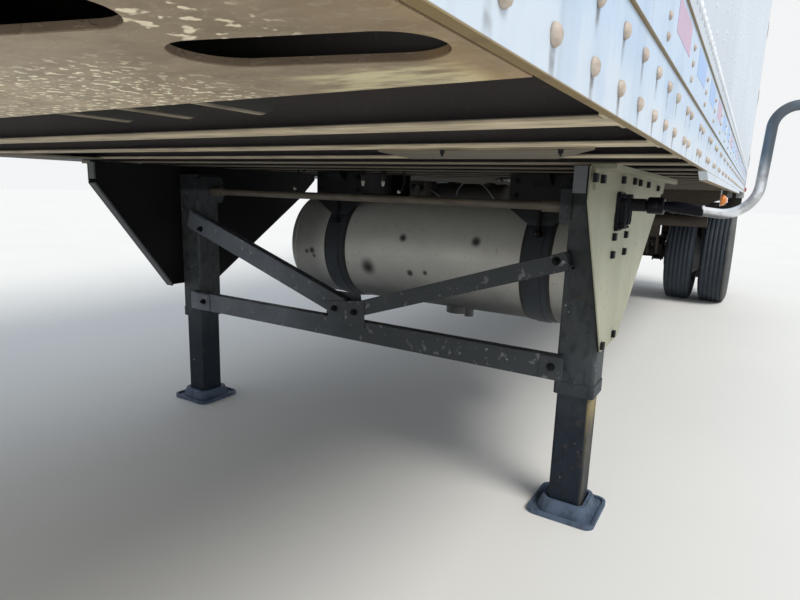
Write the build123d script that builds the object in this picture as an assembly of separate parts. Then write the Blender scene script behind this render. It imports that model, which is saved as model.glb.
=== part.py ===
"""A single-axle refrigerated van semi trailer, parked on its landing gear.

Millimetres. X runs forward to the nose, Y to the left (road centre) side, Z up.
The origin is on the kingpin's axis, in the plane of the coupler plate's underside.
"""
import os
from math import atan2, cos, degrees, hypot, pi, sin

from build123d import *

# Driving sizes of the whole trailer
LENGTH = 9144            # nose to the rear frame's face
WIDTH = 2591             # over the side sheets
COUPLER_HEIGHT = 1202    # ground to the coupler plate's underside
ROOF_HEIGHT = 4115       # ground to the top of the roof rails
KINGPIN_SETBACK = 914    # nose to kingpin axis
LEGS_BEHIND_KINGPIN = 2086
AXLE_BEHIND_KINGPIN = 7356

NOSE = KINGPIN_SETBACK
REAR = NOSE - LENGTH
SIDE = WIDTH / 2
GROUND = -COUPLER_HEIGHT
TOP = ROOF_HEIGHT - COUPLER_HEIGHT
LEG_X = -LEGS_BEHIND_KINGPIN
AXLE_X = -AXLE_BEHIND_KINGPIN

# Clearances
SEAT = 0.3               # between pieces that rest against each other
RUN = 8.0                # between pieces that move past each other
PIN_FIT = 0.3            # radial, hinge knuckle on its pin

# Underframe
BEAM_PITCH = 305
BEAM_HEIGHT = 108
BEAM_FLANGE = 72
BEAM_WEB = 5
BEAM_PLATE = 4.5
BEAM_END = 5             # thickness of the plate that closes each beam's end
BEAM_END_HALF = 62
RAIL_WEB = 9
RAIL_STEP = 4            # each band of the rail stands this far inside the one above
RAIL_LOWER_BAND = 115.5
RAIL_HEIGHT = 221
RAIL_SHELF = 34
COUPLER_REAR = -548
COUPLER_THICK = 6
COUPLER_EDGE_GAP = 2.5   # plate's side edge to the rail's web
COUPLER_TO_BEAM = 278    # plate's rear edge to the first beam's web
HUNG = -SEAT             # top of whatever hangs from the cross beams
FLOOR_THICK = 42
FLOOR_BOTTOM = BEAM_HEIGHT + SEAT
FLOOR_TOP = FLOOR_BOTTOM + FLOOR_THICK

# Body shell
WALL = 64
NOSE_WALL = 100
NOSE_CORNER = 90
ROOF_THICK = 60
ROOF_CAMBER = 14
TOP_RAIL_HEIGHT = 96
TOP_RAIL_CORNER = 55

# Rear frame and doors
FRAME_DEPTH = 130
POST = 92
HEADER = 130
SILL_DROP = 60           # the sill hangs this far below the rail
DOOR_THICK = 70
DOOR_PROUD = 7           # door face behind the frame's face
DOOR_GAP = 10
HINGE_PIN = 8
HINGE_KNUCKLE = 15
HINGE_BACK = 24          # hinge axis behind the frame's face
HINGE_IN = 10            # hinge axis inside the overall width
HINGE_HEIGHT = 110
STRAP_THICK = 8
STRAP_REACH = 330
ROD_RADIUS = 17
ROD_STANDOFF = 42        # lock rod axis behind the door's face


def block(x, y, z):
    """A box from pairs of limits along X, Y and Z."""
    size = [high - low for low, high in (x, y, z)]
    middle = [(high + low) / 2 for low, high in (x, y, z)]
    return Pos(*middle) * Box(*size)


def along_x(points, x0, x1):
    """A (y, z) outline drawn out from x0 to x1."""
    return Pos(x0, 0, 0) * extrude(Plane.YZ * Polygon(*points, align=None), x1 - x0, dir=(1, 0, 0))


def along_y(points, y0, y1):
    """An (x, z) outline drawn out from y0 to y1."""
    return Pos(0, y0, 0) * extrude(Plane.XZ * Polygon(*points, align=None), y1 - y0, dir=(0, 1, 0))


def along_z(points, z0, z1):
    """An (x, y) outline drawn out from z0 to z1."""
    return Pos(0, 0, z0) * extrude(Polygon(*points, align=None), z1 - z0, dir=(0, 0, 1))


def rod_x(y, z, x0, x1, radius):
    """A round bar along X."""
    return Pos((x0 + x1) / 2, y, z) * Rot(0, 90, 0) * Cylinder(radius, x1 - x0)


def rod_y(x, z, y0, y1, radius):
    """A round bar along Y."""
    return Pos(x, (y0 + y1) / 2, z) * Rot(90, 0, 0) * Cylinder(radius, y1 - y0)


def rod_z(x, y, z0, z1, radius):
    """A round bar along Z."""
    return Pos(x, y, (z0 + z1) / 2) * Cylinder(radius, z1 - z0)


def turned(points, about=Axis.Y):
    """A (radius, y) outline turned about the Y axis."""
    return revolve(Polygon(*points, align=None), about)


def mirrored(piece):
    """The same piece on the right-hand side."""
    return mirror(piece, about=Plane.XZ)


def both(piece):
    """A piece of the left side and its right-hand twin."""
    return [piece, mirrored(piece)]


# Coupler: the plate that rides on the tractor, its kingpin and the gussets behind it
COUPLER_HALF = SIDE - RAIL_STEP * 2 - RAIL_WEB - COUPLER_EDGE_GAP
COUPLER_HOLES = [        # x and y of the centre, length, width, turn in degrees
    (-421, 1174, 184, 74, 15),
    (-284, 1058, 184, 74, 15),
]
KINGPIN_NECK = 34        # radius where it passes the plate
KINGPIN_STEPS = [        # radius and length, from the plate's underside down
    (36.5, 32.0),
    (25.4, 35.0),
    (35.7, 17.0),
]
KINGPIN_FLANGE = (120, 10)   # radius and thickness above the plate


def coupler_plate():
    """Bed plate with its rolled nose and two slots at each side."""
    nose_radius = 45
    nose_x = NOSE - nose_radius
    plate = block((COUPLER_REAR, nose_x), (-COUPLER_HALF, COUPLER_HALF), (0, COUPLER_THICK))
    roll = Pos(nose_x, 0, nose_radius) * Rot(90, 0, 0) * (
        Cylinder(nose_radius, COUPLER_HALF * 2)
        - Cylinder(nose_radius - COUPLER_THICK, COUPLER_HALF * 2))
    quarter = block((nose_x, NOSE), (-COUPLER_HALF, COUPLER_HALF), (0, nose_radius))
    plate += roll & quarter
    for x, y, length, width, turn in COUPLER_HOLES:
        for side in (1, -1):
            slot = Pos(x, side * y, COUPLER_THICK / 2) * Rot(0, 0, 90 + side * turn)
            plate -= slot * extrude(SlotOverall(length, width), COUPLER_THICK, both=True)
    plate -= Pos(0, 0, COUPLER_THICK / 2) * Cylinder(KINGPIN_NECK + SEAT, COUPLER_THICK)
    return plate


def kingpin():
    """Turned pin, with the flange by which it is fixed above the plate."""
    flange_radius, flange_thick = KINGPIN_FLANGE
    low = COUPLER_THICK + SEAT
    points = [(0, low + flange_thick), (flange_radius, low + flange_thick), (flange_radius, low),
              (KINGPIN_NECK, low), (KINGPIN_NECK, 0)]
    z = 0
    for radius, length in KINGPIN_STEPS:
        points.append((radius, z))
        z -= length
        points.append((radius, z))
    points.append((0, z))
    profile = Plane.XZ * Polygon(*points, align=None)
    return revolve(profile, Axis.Z)


GUSSET_PLACES = (650, 780, 910)
GUSSET_REACH = 126       # behind the coupler plate's edge
GUSSET_THICK = 6
GUSSET_NOSE = 28         # rounding of the lower rear corner


def coupler_channels():
    """Cross channel along the plate's rear edge, one over the pin and one at the nose."""
    top = FLOOR_BOTTOM - SEAT
    low = COUPLER_THICK + SEAT
    flange = 60
    web = 8
    half = SIDE - RAIL_STEP * 2 - RAIL_WEB - SEAT
    pieces = []
    for x in (COUPLER_REAR + flange + 4, -KINGPIN_FLANGE[0] - flange, NOSE - NOSE_WALL - SEAT):
        section = [(x, low), (x, top), (x - flange, top), (x - flange, top - web),
                   (x - web, top - web), (x - web, low + web), (x - flange, low + web),
                   (x - flange, low)]
        pieces.append(along_y(section, -half, half))
    return pieces


def gussets():
    """Upright plates behind the coupler, tied to its rear channel and the deck above."""
    x0 = COUPLER_REAR - SEAT
    tip = x0 - GUSSET_REACH
    nose = GUSSET_NOSE
    top = FLOOR_BOTTOM - SEAT
    outline = [(x0, 0), (tip + nose, 0), (tip + nose * 0.3, nose * 0.3), (tip, nose),
               (tip, top / 2), (tip + 50, top), (x0, top)]
    pieces = []
    for y in GUSSET_PLACES:
        pieces += both(along_y(outline, y - GUSSET_THICK / 2, y + GUSSET_THICK / 2))
    return pieces


STIFFENER_THICK = 5
STIFFENER_CORNERS = [    # which beam, x ahead of its web, y
    (1, -26, 735), (1, -22, 1180), (2, 24, 1040), (2, 26, 672),
]


def stiffeners():
    """Tapered plates that tie the second and third cross beams ahead of the legs."""
    places = beam_places()
    outline = [(places[beam] + ahead, y) for beam, ahead, y in STIFFENER_CORNERS]
    return both(along_z(outline, HUNG - STIFFENER_THICK, HUNG))


def beam_places():
    """X of each cross beam's web, from the coupler back to the rear frame."""
    places = []
    x = COUPLER_REAR - COUPLER_TO_BEAM
    while x > REAR + FRAME_DEPTH + BEAM_FLANGE:
        places.append(x)
        x -= BEAM_PITCH
    return places


def cross_beams():
    """Rolled I beams, fixed between the side rails by the plates on their ends."""
    half = SIDE - RAIL_STEP * 2 - RAIL_WEB - SEAT
    low = 0
    top = BEAM_HEIGHT
    pieces = []
    for x in beam_places():
        f = BEAM_FLANGE / 2
        w = BEAM_WEB / 2
        section = [(x - f, low), (x + f, low), (x + f, low + BEAM_PLATE), (x + w, low + BEAM_PLATE),
                   (x + w, top - BEAM_PLATE), (x + f, top - BEAM_PLATE), (x + f, top),
                   (x - f, top), (x - f, top - BEAM_PLATE), (x - w, top - BEAM_PLATE),
                   (x - w, low + BEAM_PLATE), (x - f, low + BEAM_PLATE)]
        beam = along_y(section, -half, half)
        for inner, outer in ((half - BEAM_END, half), (-half, -half + BEAM_END)):
            beam += block((x - BEAM_END_HALF, x + BEAM_END_HALF), (inner, outer), (low, top - SEAT - 4))
        pieces.append(beam)
    return pieces


def side_rails():
    """Stepped bottom rail extrusions, with a shelf for the floor inside."""
    outer = [SIDE - RAIL_STEP * 2, SIDE - RAIL_STEP]
    web = outer[0] - RAIL_WEB
    shelf = FLOOR_BOTTOM - SEAT
    section = [
        (outer[0], 0), (outer[0], RAIL_LOWER_BAND), (outer[1], RAIL_LOWER_BAND),
        (outer[1], RAIL_HEIGHT), (web, RAIL_HEIGHT), (web, shelf), (web - RAIL_SHELF, shelf),
        (web - RAIL_SHELF, shelf - 4), (web, shelf - 4), (web, 0)]
    rail = along_x(section, REAR + FRAME_DEPTH + SEAT, NOSE - NOSE_CORNER)
    beam_half = SIDE - RAIL_STEP * 2 - RAIL_WEB
    for x in beam_places():
        notch = block((x - BEAM_END_HALF - 2, x + BEAM_END_HALF + 2),
                      (web - RAIL_SHELF - 1, beam_half), (shelf - 4, shelf))
        rail -= notch
    coupler_span = block((COUPLER_REAR - 30, NOSE), (web - RAIL_SHELF - 1, beam_half),
                         (shelf - 4, shelf))
    return both(rail - coupler_span)


LOWER_RAIL_FRONT = LEG_X - 14
LOWER_RAIL_REAR = AXLE_X + 1150
LOWER_RAIL_DROP = 25
LOWER_RAIL_WIDE = 24
LOWER_RAIL_WALL = 3
LOWER_RAIL_RAKE = 85     # the front end is cut back by this much at the foot


def lower_rails():
    """Rectangular tube under each side rail, from the landing gear back to the wheels."""
    y = SIDE - RAIL_STEP * 2
    low = HUNG - LOWER_RAIL_DROP
    wall = LOWER_RAIL_WALL
    cut = LOWER_RAIL_FRONT - LOWER_RAIL_RAKE
    tube = along_y([(LOWER_RAIL_FRONT, HUNG), (LOWER_RAIL_REAR, HUNG), (LOWER_RAIL_REAR, low),
                    (cut, low)], y - LOWER_RAIL_WIDE, y)
    tube -= block((LOWER_RAIL_REAR - 1, cut - wall), (y - LOWER_RAIL_WIDE + wall, y - wall),
                  (low + wall, HUNG - wall))
    return both(tube)


def floor():
    """Load floor: one deck between the rails, from nose wall to rear frame."""
    half = SIDE - RAIL_STEP * 2 - RAIL_WEB - SEAT
    front = NOSE - NOSE_WALL - SEAT
    return block((REAR + FRAME_DEPTH + SEAT, front), (-half, half), (FLOOR_BOTTOM, FLOOR_TOP))


def side_wall():
    """Sheet-and-post wall of the left side: outer sheets, core and lining as one panel."""
    inner = SIDE - WALL
    foot = SIDE - RAIL_STEP - RAIL_WEB - RAIL_STEP - SEAT
    section = [(SIDE, RAIL_HEIGHT + SEAT), (SIDE, TOP - TOP_RAIL_HEIGHT - SEAT),
               (inner, TOP - TOP_RAIL_HEIGHT - SEAT), (inner, FLOOR_TOP + SEAT),
               (foot, FLOOR_TOP + SEAT), (foot, RAIL_HEIGHT + SEAT)]
    return along_x(section, REAR + FRAME_DEPTH + SEAT, NOSE - NOSE_WALL - SEAT)


def top_rails():
    """Rounded upper rail extrusions."""
    inner = SIDE - WALL
    low = TOP - TOP_RAIL_HEIGHT
    section = Polygon((SIDE, low), (SIDE, TOP), (inner, TOP), (inner, low), align=None)
    section = fillet(section.vertices().sort_by(Axis.Y)[-2:].sort_by(Axis.X)[-1], TOP_RAIL_CORNER)
    rail = extrude(Plane.YZ * section, NOSE - NOSE_WALL - REAR - FRAME_DEPTH - SEAT * 2, dir=(1, 0, 0))
    return both(Pos(REAR + FRAME_DEPTH + SEAT, 0, 0) * rail)


def roof():
    """Slightly cambered roof panel between the top rails."""
    half = SIDE - WALL - SEAT
    low = TOP - ROOF_THICK - ROOF_CAMBER
    high = TOP - ROOF_CAMBER
    outline = (Line((-half, low), (half, low)) + Line((half, low), (half, high))
               + ThreePointArc((half, high), (0, TOP - 1), (-half, high))
               + Line((-half, high), (-half, low)))
    panel = extrude(Plane.YZ * make_face(outline), NOSE - NOSE_WALL - REAR - FRAME_DEPTH - SEAT * 2,
                    dir=(1, 0, 0))
    return Pos(REAR + FRAME_DEPTH + SEAT, 0, 0) * panel


def nose_wall():
    """Front wall with rounded corner posts, down to the coupler's rolled edge."""
    low = COUPLER_THICK + 46
    panel = block((NOSE - NOSE_WALL, NOSE), (-SIDE, SIDE), (low, TOP))
    corners = panel.edges().filter_by(Axis.Z).group_by(Axis.X)[-1]
    panel = fillet(corners, NOSE_CORNER)
    rail_top = RAIL_HEIGHT
    for side in (1, -1):
        ear = block((NOSE - NOSE_WALL - 1, NOSE - NOSE_CORNER + SEAT),
                    (SIDE - WALL, SIDE + 1) if side > 0 else (-SIDE - 1, -SIDE + WALL),
                    (low - 1, rail_top))
        panel -= ear
    return panel


# Rear frame, doors and their hardware
DOOR_OPENING = SIDE - POST
DOOR_LOW = FLOOR_TOP + 4
DOOR_HIGH = TOP - HEADER
HINGE_X = REAR - HINGE_BACK
HINGE_Y = SIDE - HINGE_IN
HINGE_COUNT = 4
DOOR_FACE = REAR - DOOR_PROUD
HINGE_FIRST = DOOR_LOW + 220
HINGE_LAST = DOOR_HIGH - 220
HINGE_PLACES = [HINGE_FIRST + (HINGE_LAST - HINGE_FIRST) * i / (HINGE_COUNT - 1)
                for i in range(HINGE_COUNT)]
ROD_PLACES = (0.30, 0.80)        # share of the door's width, from the hinge side
GUIDE_INSET = 330                # outer rod guides from the door's ends
GUIDE_MIDDLE = 1250              # middle guide above the door's foot
LEVER = 250


def rear_frame():
    """Welded portal: two posts, a header and a deep sill."""
    ring = block((REAR, REAR + FRAME_DEPTH), (-SIDE, SIDE), (-SILL_DROP, TOP))
    ring = fillet(ring.edges().filter_by(Axis.X).group_by(Axis.Z)[-1], TOP_RAIL_CORNER)
    ring -= block((REAR - 1, REAR + FRAME_DEPTH + 1), (-DOOR_OPENING, DOOR_OPENING),
                  (DOOR_LOW - 4, DOOR_HIGH))
    stop = block((REAR + DOOR_THICK - DOOR_PROUD + RUN, REAR + FRAME_DEPTH),
                 (-DOOR_OPENING - 1, DOOR_OPENING + 1), (DOOR_HIGH - 18, DOOR_HIGH + 1))
    return ring + stop


def hinge_lugs():
    """Fixed half of each hinge: two lugs on the post and the pin between them."""
    pieces = []
    lug_high = 34
    for z in HINGE_PLACES:
        for side in (1, -1):
            pair = []
            for end in (1, -1):
                low = z + end * (HINGE_HEIGHT / 2 + 1) + (0 if end > 0 else -lug_high)
                arm = along_z([(REAR - SEAT, SIDE - 46), (REAR - SEAT, SIDE),
                               (HINGE_X, HINGE_Y + HINGE_KNUCKLE * 0.86),
                               (HINGE_X, HINGE_Y - HINGE_KNUCKLE)], low, low + lug_high)
                pair.append(arm + rod_z(HINGE_X, HINGE_Y, low, low + lug_high, HINGE_KNUCKLE))
            reach = HINGE_HEIGHT / 2 + 1 + lug_high
            pin = rod_z(HINGE_X, HINGE_Y, z - reach, z + reach, HINGE_PIN)
            lug = pair[0] + pair[1] + pin
            pieces.append(lug if side > 0 else mirrored(lug))
    return pieces


def door_panel():
    """Left door: insulated leaf with a chamfered inner edge all round."""
    low = DOOR_LOW + RUN - 4
    high = DOOR_HIGH - RUN
    leaf = block((DOOR_FACE, DOOR_FACE + DOOR_THICK), (DOOR_GAP / 2, DOOR_OPENING - RUN),
                 (low, high))
    inner = leaf.faces().sort_by(Axis.X)[-1]
    leaf = chamfer(inner.edges(), 12)
    return leaf


def door_hardware():
    """Left door's hinge straps, lock rods, guides, cams and handles."""
    width = DOOR_OPENING - RUN - DOOR_GAP / 2
    hinge_side = DOOR_OPENING - RUN
    pieces = []
    back = DOOR_FACE - SEAT
    for z in HINGE_PLACES:
        low = z - HINGE_HEIGHT / 2
        high = z + HINGE_HEIGHT / 2
        reach = hinge_side - STRAP_REACH
        plate = along_z([(back, reach), (back - STRAP_THICK, reach),
                         (back - STRAP_THICK, HINGE_Y - 4), (HINGE_X - 4, HINGE_Y),
                         (HINGE_X + 8, HINGE_Y), (back, HINGE_Y - 16)], low, high)
        taper = block((back - 40, back + 1), (reach - 1, hinge_side - 70), (low - 1, low + 24))
        taper += block((back - 40, back + 1), (reach - 1, hinge_side - 70), (high - 24, high + 1))
        strap = plate - taper + rod_z(HINGE_X, HINGE_Y, low, high, HINGE_KNUCKLE)
        strap -= rod_z(HINGE_X, HINGE_Y, low - 1, high + 1, HINGE_PIN + PIN_FIT)
        pieces.append(strap)
    rod_x0 = DOOR_FACE - ROD_STANDOFF
    low = DOOR_LOW - 30
    high = DOOR_HIGH + 30
    for share in ROD_PLACES:
        y = hinge_side - width * share
        bar = rod_z(rod_x0, y, low, high, ROD_RADIUS)
        for end, z in ((-1, low), (1, high)):
            cam = block((rod_x0 - 16, rod_x0 + 26), (y - 22, y + 22), (z - 12, z + 12))
            bar += chamfer(cam.edges().filter_by(Axis.Z), 8)
        for z in (DOOR_LOW + GUIDE_INSET, DOOR_LOW + GUIDE_MIDDLE, DOOR_HIGH - GUIDE_INSET):
            guide = block((rod_x0 - 26, back), (y - 34, y + 34), (z - 22, z + 22))
            guide = fillet(guide.edges().filter_by(Axis.Z).group_by(Axis.X)[0], 16)
            bar += guide
        grip_z = DOOR_LOW + 900
        turn = -1 if share < 0.5 else 1
        ends = sorted((y - turn * 10, y + turn * LEVER))
        lever = block((rod_x0 - 14, rod_x0 + 14), ends, (grip_z - 20, grip_z + 20))
        lever = fillet(lever.edges().filter_by(Axis.X), 14)
        bar += lever
        ends = sorted((y + turn * (LEVER - 70), y + turn * (LEVER - 30)))
        bar += block((rod_x0 - 20, back), ends, (grip_z - 34, grip_z + 34))
        pieces.append(bar)
    return pieces


def lock_keepers():
    """Cheeked keepers on the header and sill, open to the rear for the cams."""
    pieces = []
    width = DOOR_OPENING - RUN - DOOR_GAP / 2
    cheek = 10
    room = 16
    for share in ROD_PLACES:
        y = DOOR_OPENING - RUN - width * share
        for z in (DOOR_LOW - 30, DOOR_HIGH + 30):
            half = 22 + room + cheek
            outer = block((DOOR_FACE - 34, REAR - SEAT), (y - half, y + half), (z - 24, z + 24))
            outer -= block((DOOR_FACE - 35, REAR - SEAT - 6), (y - half + cheek, y + half - cheek),
                           (z - 25, z + 25))
            pieces += both(outer)
    return pieces


# Refrigeration unit on the nose
UNIT_DEPTH = 430
UNIT_WIDTH = 2060
UNIT_LOW = 640
UNIT_HIGH = TOP - 90
GRILLE_DEEP = 90
GRILLE_HALF = 760
GRILLE_HIGH = UNIT_HIGH - 190
GRILLE_LOW = GRILLE_HIGH - 720
SLAT_PITCH = 60


def unit_housing():
    """Nose unit: a tapered shell with a deep condenser opening in its upper front."""
    back = NOSE + SEAT
    half = UNIT_WIDTH / 2
    flare = 110
    plan = [(back, -half), (back + UNIT_DEPTH - flare, -half), (back + UNIT_DEPTH, -half + flare),
            (back + UNIT_DEPTH, half - flare), (back + UNIT_DEPTH - flare, half), (back, half)]
    shell = along_z(plan, UNIT_LOW, UNIT_HIGH)
    under = along_y([(back + 190, UNIT_LOW - 1), (back + UNIT_DEPTH + 1, UNIT_LOW - 1),
                     (back + UNIT_DEPTH + 1, UNIT_LOW + 210)], -half - 1, half + 1)
    over = along_y([(back + 250, UNIT_HIGH + 1), (back + UNIT_DEPTH + 1, UNIT_HIGH + 1),
                    (back + UNIT_DEPTH + 1, UNIT_HIGH - 120)], -half - 1, half + 1)
    shell = shell - under - over
    opening = block((back + UNIT_DEPTH - GRILLE_DEEP, back + UNIT_DEPTH + 1),
                    (-GRILLE_HALF, GRILLE_HALF), (GRILLE_LOW, GRILLE_HIGH))
    return shell - opening


def unit_grille():
    """Condenser grille: slats in a frame, set into the housing's opening."""
    front = NOSE + SEAT + UNIT_DEPTH
    half = GRILLE_HALF - SEAT
    low = GRILLE_LOW + SEAT
    high = GRILLE_HIGH - SEAT
    rim = 24
    frame = block((front - 30, front - 4), (-half, half), (low, high))
    frame -= block((front - 31, front), (-half + rim, half - rim), (low + rim, high - rim))
    frame += block((front - 30, front - 10), (-rim / 2, rim / 2), (low, high))
    z = low + rim + SLAT_PITCH / 2
    while z < high - rim:
        slat = along_y([(front - 28, z + 14), (front - 24, z + 14), (front - 6, z - 14),
                        (front - 10, z - 14)], -half + rim / 2, half - rim / 2)
        frame += slat
        z += SLAT_PITCH
    return frame


# Landing gear
LEG_Y = 974.6
LEG_TUBE = 131
LEG_INNER = 114
LEG_INNER_WALL = 6
LEG_TOP = -40
LEG_COLLAR_LOW = GROUND + 446
LEG_COLLAR = 44
FOOT = 236
FOOT_PLATE = 8
FOOT_RIM = (10, 16)      # width and height of the pad's turned-up edge
FOOT_MOUND = (190, 50)   # size and corner radius of the raised ring at its foot
FOOT_MOUND_HIGH = 44
FOOT_MOUND_LEAN = 21     # degrees that the ring's sides lean in
FOOT_SOCKET = (128, 20)  # size and corner radius of the opening for the tube
SHAFT_Z = -121
SHAFT_RADIUS = 15


def leg_tubes():
    """Outer square tubes with a thick collar at the mouth and a bevel gear box on top."""
    half = LEG_TUBE / 2
    tube = block((LEG_X - half, LEG_X + half), (LEG_Y - half, LEG_Y + half),
                 (LEG_COLLAR_LOW, LEG_TOP))
    tube = fillet(tube.edges().filter_by(Axis.Z), 12)
    collar = block((LEG_X - half - 3, LEG_X + half + 3), (LEG_Y - half - 3, LEG_Y + half + 3),
                   (LEG_COLLAR_LOW, LEG_COLLAR_LOW + LEG_COLLAR))
    tube += fillet(collar.edges().filter_by(Axis.Z), 14)
    bore = LEG_INNER / 2 + SEAT
    tube -= block((LEG_X - bore, LEG_X + bore), (LEG_Y - bore, LEG_Y + bore),
                  (LEG_COLLAR_LOW - 1, LEG_TOP - 200))
    head = block((LEG_X - half - 6, LEG_X + half + 6), (LEG_Y - half - 30, LEG_Y - half + 8),
                 (SHAFT_Z - 56, LEG_TOP - 10))
    tube += chamfer(head.edges().filter_by(Axis.Y), 14)
    return both(tube)


def leg_inner_tubes():
    """Telescoping tubes that stand in the sockets of their feet."""
    half = LEG_INNER / 2
    low = GROUND + FOOT_PLATE + SEAT
    tube = block((LEG_X - half, LEG_X + half), (LEG_Y - half, LEG_Y + half), (low, LEG_TOP - 260))
    tube = fillet(tube.edges().filter_by(Axis.Z), 10)
    core = half - LEG_INNER_WALL
    tube -= block((LEG_X - core, LEG_X + core), (LEG_Y - core, LEG_Y + core),
                  (low - 1, LEG_TOP - 300))
    return both(tube)


def feet():
    """Pressed square pads: a turned-up edge and a raised ring round the leg's socket."""
    rim_wide, rim_high = FOOT_RIM
    corner = 34
    size, turn = FOOT_MOUND
    opening, opening_turn = FOOT_SOCKET
    pad = extrude(RectangleRounded(FOOT, FOOT, corner), rim_high)
    inside = FOOT - rim_wide * 2
    pad -= Pos(0, 0, FOOT_PLATE) * extrude(RectangleRounded(inside, inside, corner - rim_wide), rim_high)
    mound = extrude(RectangleRounded(size, size, turn), FOOT_MOUND_HIGH, taper=FOOT_MOUND_LEAN)
    pad += Pos(0, 0, FOOT_PLATE - 1) * mound
    pad -= Pos(0, 0, FOOT_PLATE) * extrude(RectangleRounded(opening, opening, opening_turn),
                                           FOOT_MOUND_HIGH)
    return both(Pos(LEG_X, LEG_Y, GROUND) * pad)


WING_THICK = 8
WING_Y = LEG_Y + LEG_TUBE / 2 + SEAT
WING_TOP = 1196          # heights above the ground: top edge, foot of the upright front edge,
WING_FRONT_HIGH = 1106   # rear corner, where the rear edge slopes in, and bottom edge
WING_REAR_HIGH = 1160
WING_REAR_LOW = 1043
WING_FOOT = 612
WING_REAR = -975         # x from the legs of the rear edge, and of the corner below it
WING_REAR_TURN = -831
WING_SIDES = [           # side, x from the legs: front edge, front and rear of the foot, front of
    (1, 400, 55, -218, 388, False),    # the angle; and whether the sloping front edge is folded
    (-1, 522, 157, -160, 510, True),
]
WING_FOLD = 36           # width of the flange folded inwards along the front edge
WING_FOLD_DROP = 77
WING_ANGLE = 68          # width of the angle's level leg
WING_ANGLE_DROP = 54     # depth of its upright leg, outside the plate
WING_ANGLE_REAR = -1390
WING_ANGLE_TAPER = -975  # where the angle starts to narrow towards its rear end
WING_ANGLE_THICK = 12


def wing_plate(side, front, foot_front, foot_rear, angle_front, folded):
    """Mounting plate of a leg, with a folded front edge and an angle along the top."""
    outline = [(front, WING_TOP), (WING_REAR, WING_TOP), (WING_REAR, WING_REAR_HIGH),
               (WING_REAR_TURN, WING_REAR_LOW), (foot_rear, WING_FOOT), (foot_front, WING_FOOT),
               (front, WING_FRONT_HIGH)]
    plate = along_y([(LEG_X + x, GROUND + z) for x, z in outline], WING_Y, WING_Y + WING_THICK)
    edge = LEG_X + front
    plate += block((edge - WING_THICK, edge), (WING_Y - WING_FOLD, WING_Y + 1),
                   (-WING_FOLD_DROP, GROUND + WING_TOP))
    if folded:
        run = hypot(front - foot_front, WING_FRONT_HIGH - WING_FOOT)
        inwards = WING_THICK * (WING_FRONT_HIGH - WING_FOOT) / run
        upwards = WING_THICK * (front - foot_front) / run
        strip = [(edge, GROUND + WING_FRONT_HIGH), (LEG_X + foot_front, GROUND + WING_FOOT)]
        strip += [(x - inwards, z + upwards) for x, z in reversed(strip)]
        plate += along_y(strip, WING_Y - WING_FOLD, WING_Y + 1)
    top = HUNG
    low = top - WING_ANGLE_THICK
    end = LEG_X + angle_front
    rear = LEG_X + WING_ANGLE_REAR
    taper = LEG_X + WING_ANGLE_TAPER
    outer = WING_Y + WING_ANGLE
    level = along_z([(end, WING_Y), (end, outer), (taper, outer), (rear, WING_Y + 20),
                     (rear, WING_Y)], low, top)
    upright = along_y([(end, low + 1), (end - 24, low - WING_ANGLE_DROP),
                       (taper + 40, low - WING_ANGLE_DROP), (taper, low + 1)],
                      WING_Y + WING_THICK - 1, WING_Y + WING_THICK * 2)
    plate += level + upright
    return plate if side > 0 else mirrored(plate)


def wing_plates():
    return [wing_plate(*row) for row in WING_SIDES]


BRACE_END = LEG_Y - 40
BRACE_BARS = [           # y and height above the ground of the two ends, depth
    (-BRACE_END, 543, BRACE_END, 543, 86),
    (-BRACE_END, 950, 15, 627, 86),
    (50, 620, BRACE_END, 911, 62),
]
BRACE_FLANGE = 30
BRACE_THICK = 5
BRACE_X = LEG_X + LEG_TUBE / 2 + SEAT


def channel_between(start, end, deep):
    """Shallow channel in the plane of the legs' front faces, from one (y, z) to another."""
    (y0, z0), (y1, z1) = start, end
    run = hypot(y1 - y0, z1 - z0)
    half = deep / 2
    section = [(0, -half), (BRACE_THICK, -half), (BRACE_THICK, half), (0, half)]
    web = Polygon(*section, align=None)
    lips = Polygon((0, half), (BRACE_FLANGE, half), (BRACE_FLANGE, half - BRACE_THICK),
                   (0, half - BRACE_THICK), align=None)
    lips += Polygon((0, -half), (BRACE_FLANGE, -half), (BRACE_FLANGE, -half + BRACE_THICK),
                    (0, -half + BRACE_THICK), align=None)
    turn = degrees(atan2(z1 - z0, y1 - y0))
    bar = extrude(Plane.XZ * (web + lips), run, dir=(0, 1, 0))
    return Pos(BRACE_X, y0, z0) * Rot(turn, 0, 0) * bar


def leg_brace():
    """K brace across the legs: one level channel and two diagonals on a middle gusset."""
    pieces = [channel_between((y0, GROUND + z0), (y1, GROUND + z1), deep)
              for y0, z0, y1, z1, deep in BRACE_BARS]
    gusset = along_x([(-110, GROUND + 505), (110, GROUND + 505), (80, GROUND + 690),
                      (-80, GROUND + 690)], BRACE_X - BRACE_THICK - SEAT, BRACE_X - SEAT)
    return pieces + [gusset]


def cross_shaft():
    """Tube that carries the crank's turn over to the right-hand leg."""
    inner = LEG_Y - LEG_TUBE / 2 - 30 - SEAT
    shaft = rod_y(LEG_X, SHAFT_Z, -inner, inner, SHAFT_RADIUS)
    for side in (1, -1):
        y = side * (inner - 45)
        shaft += rod_y(LEG_X, SHAFT_Z, y - 35, y + 35, SHAFT_RADIUS + 6)
    return shaft


GEARBOX_OUT = 82
GEARBOX_HALF = 44
GEARBOX_FLANGE = 10
GEARBOX_CASE = 34
GEARBOX_BOSS = 20
GEARBOX_TALL = 124
GEARBOX_BELOW = 71       # foot of the base below the cross shaft's axis


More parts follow.
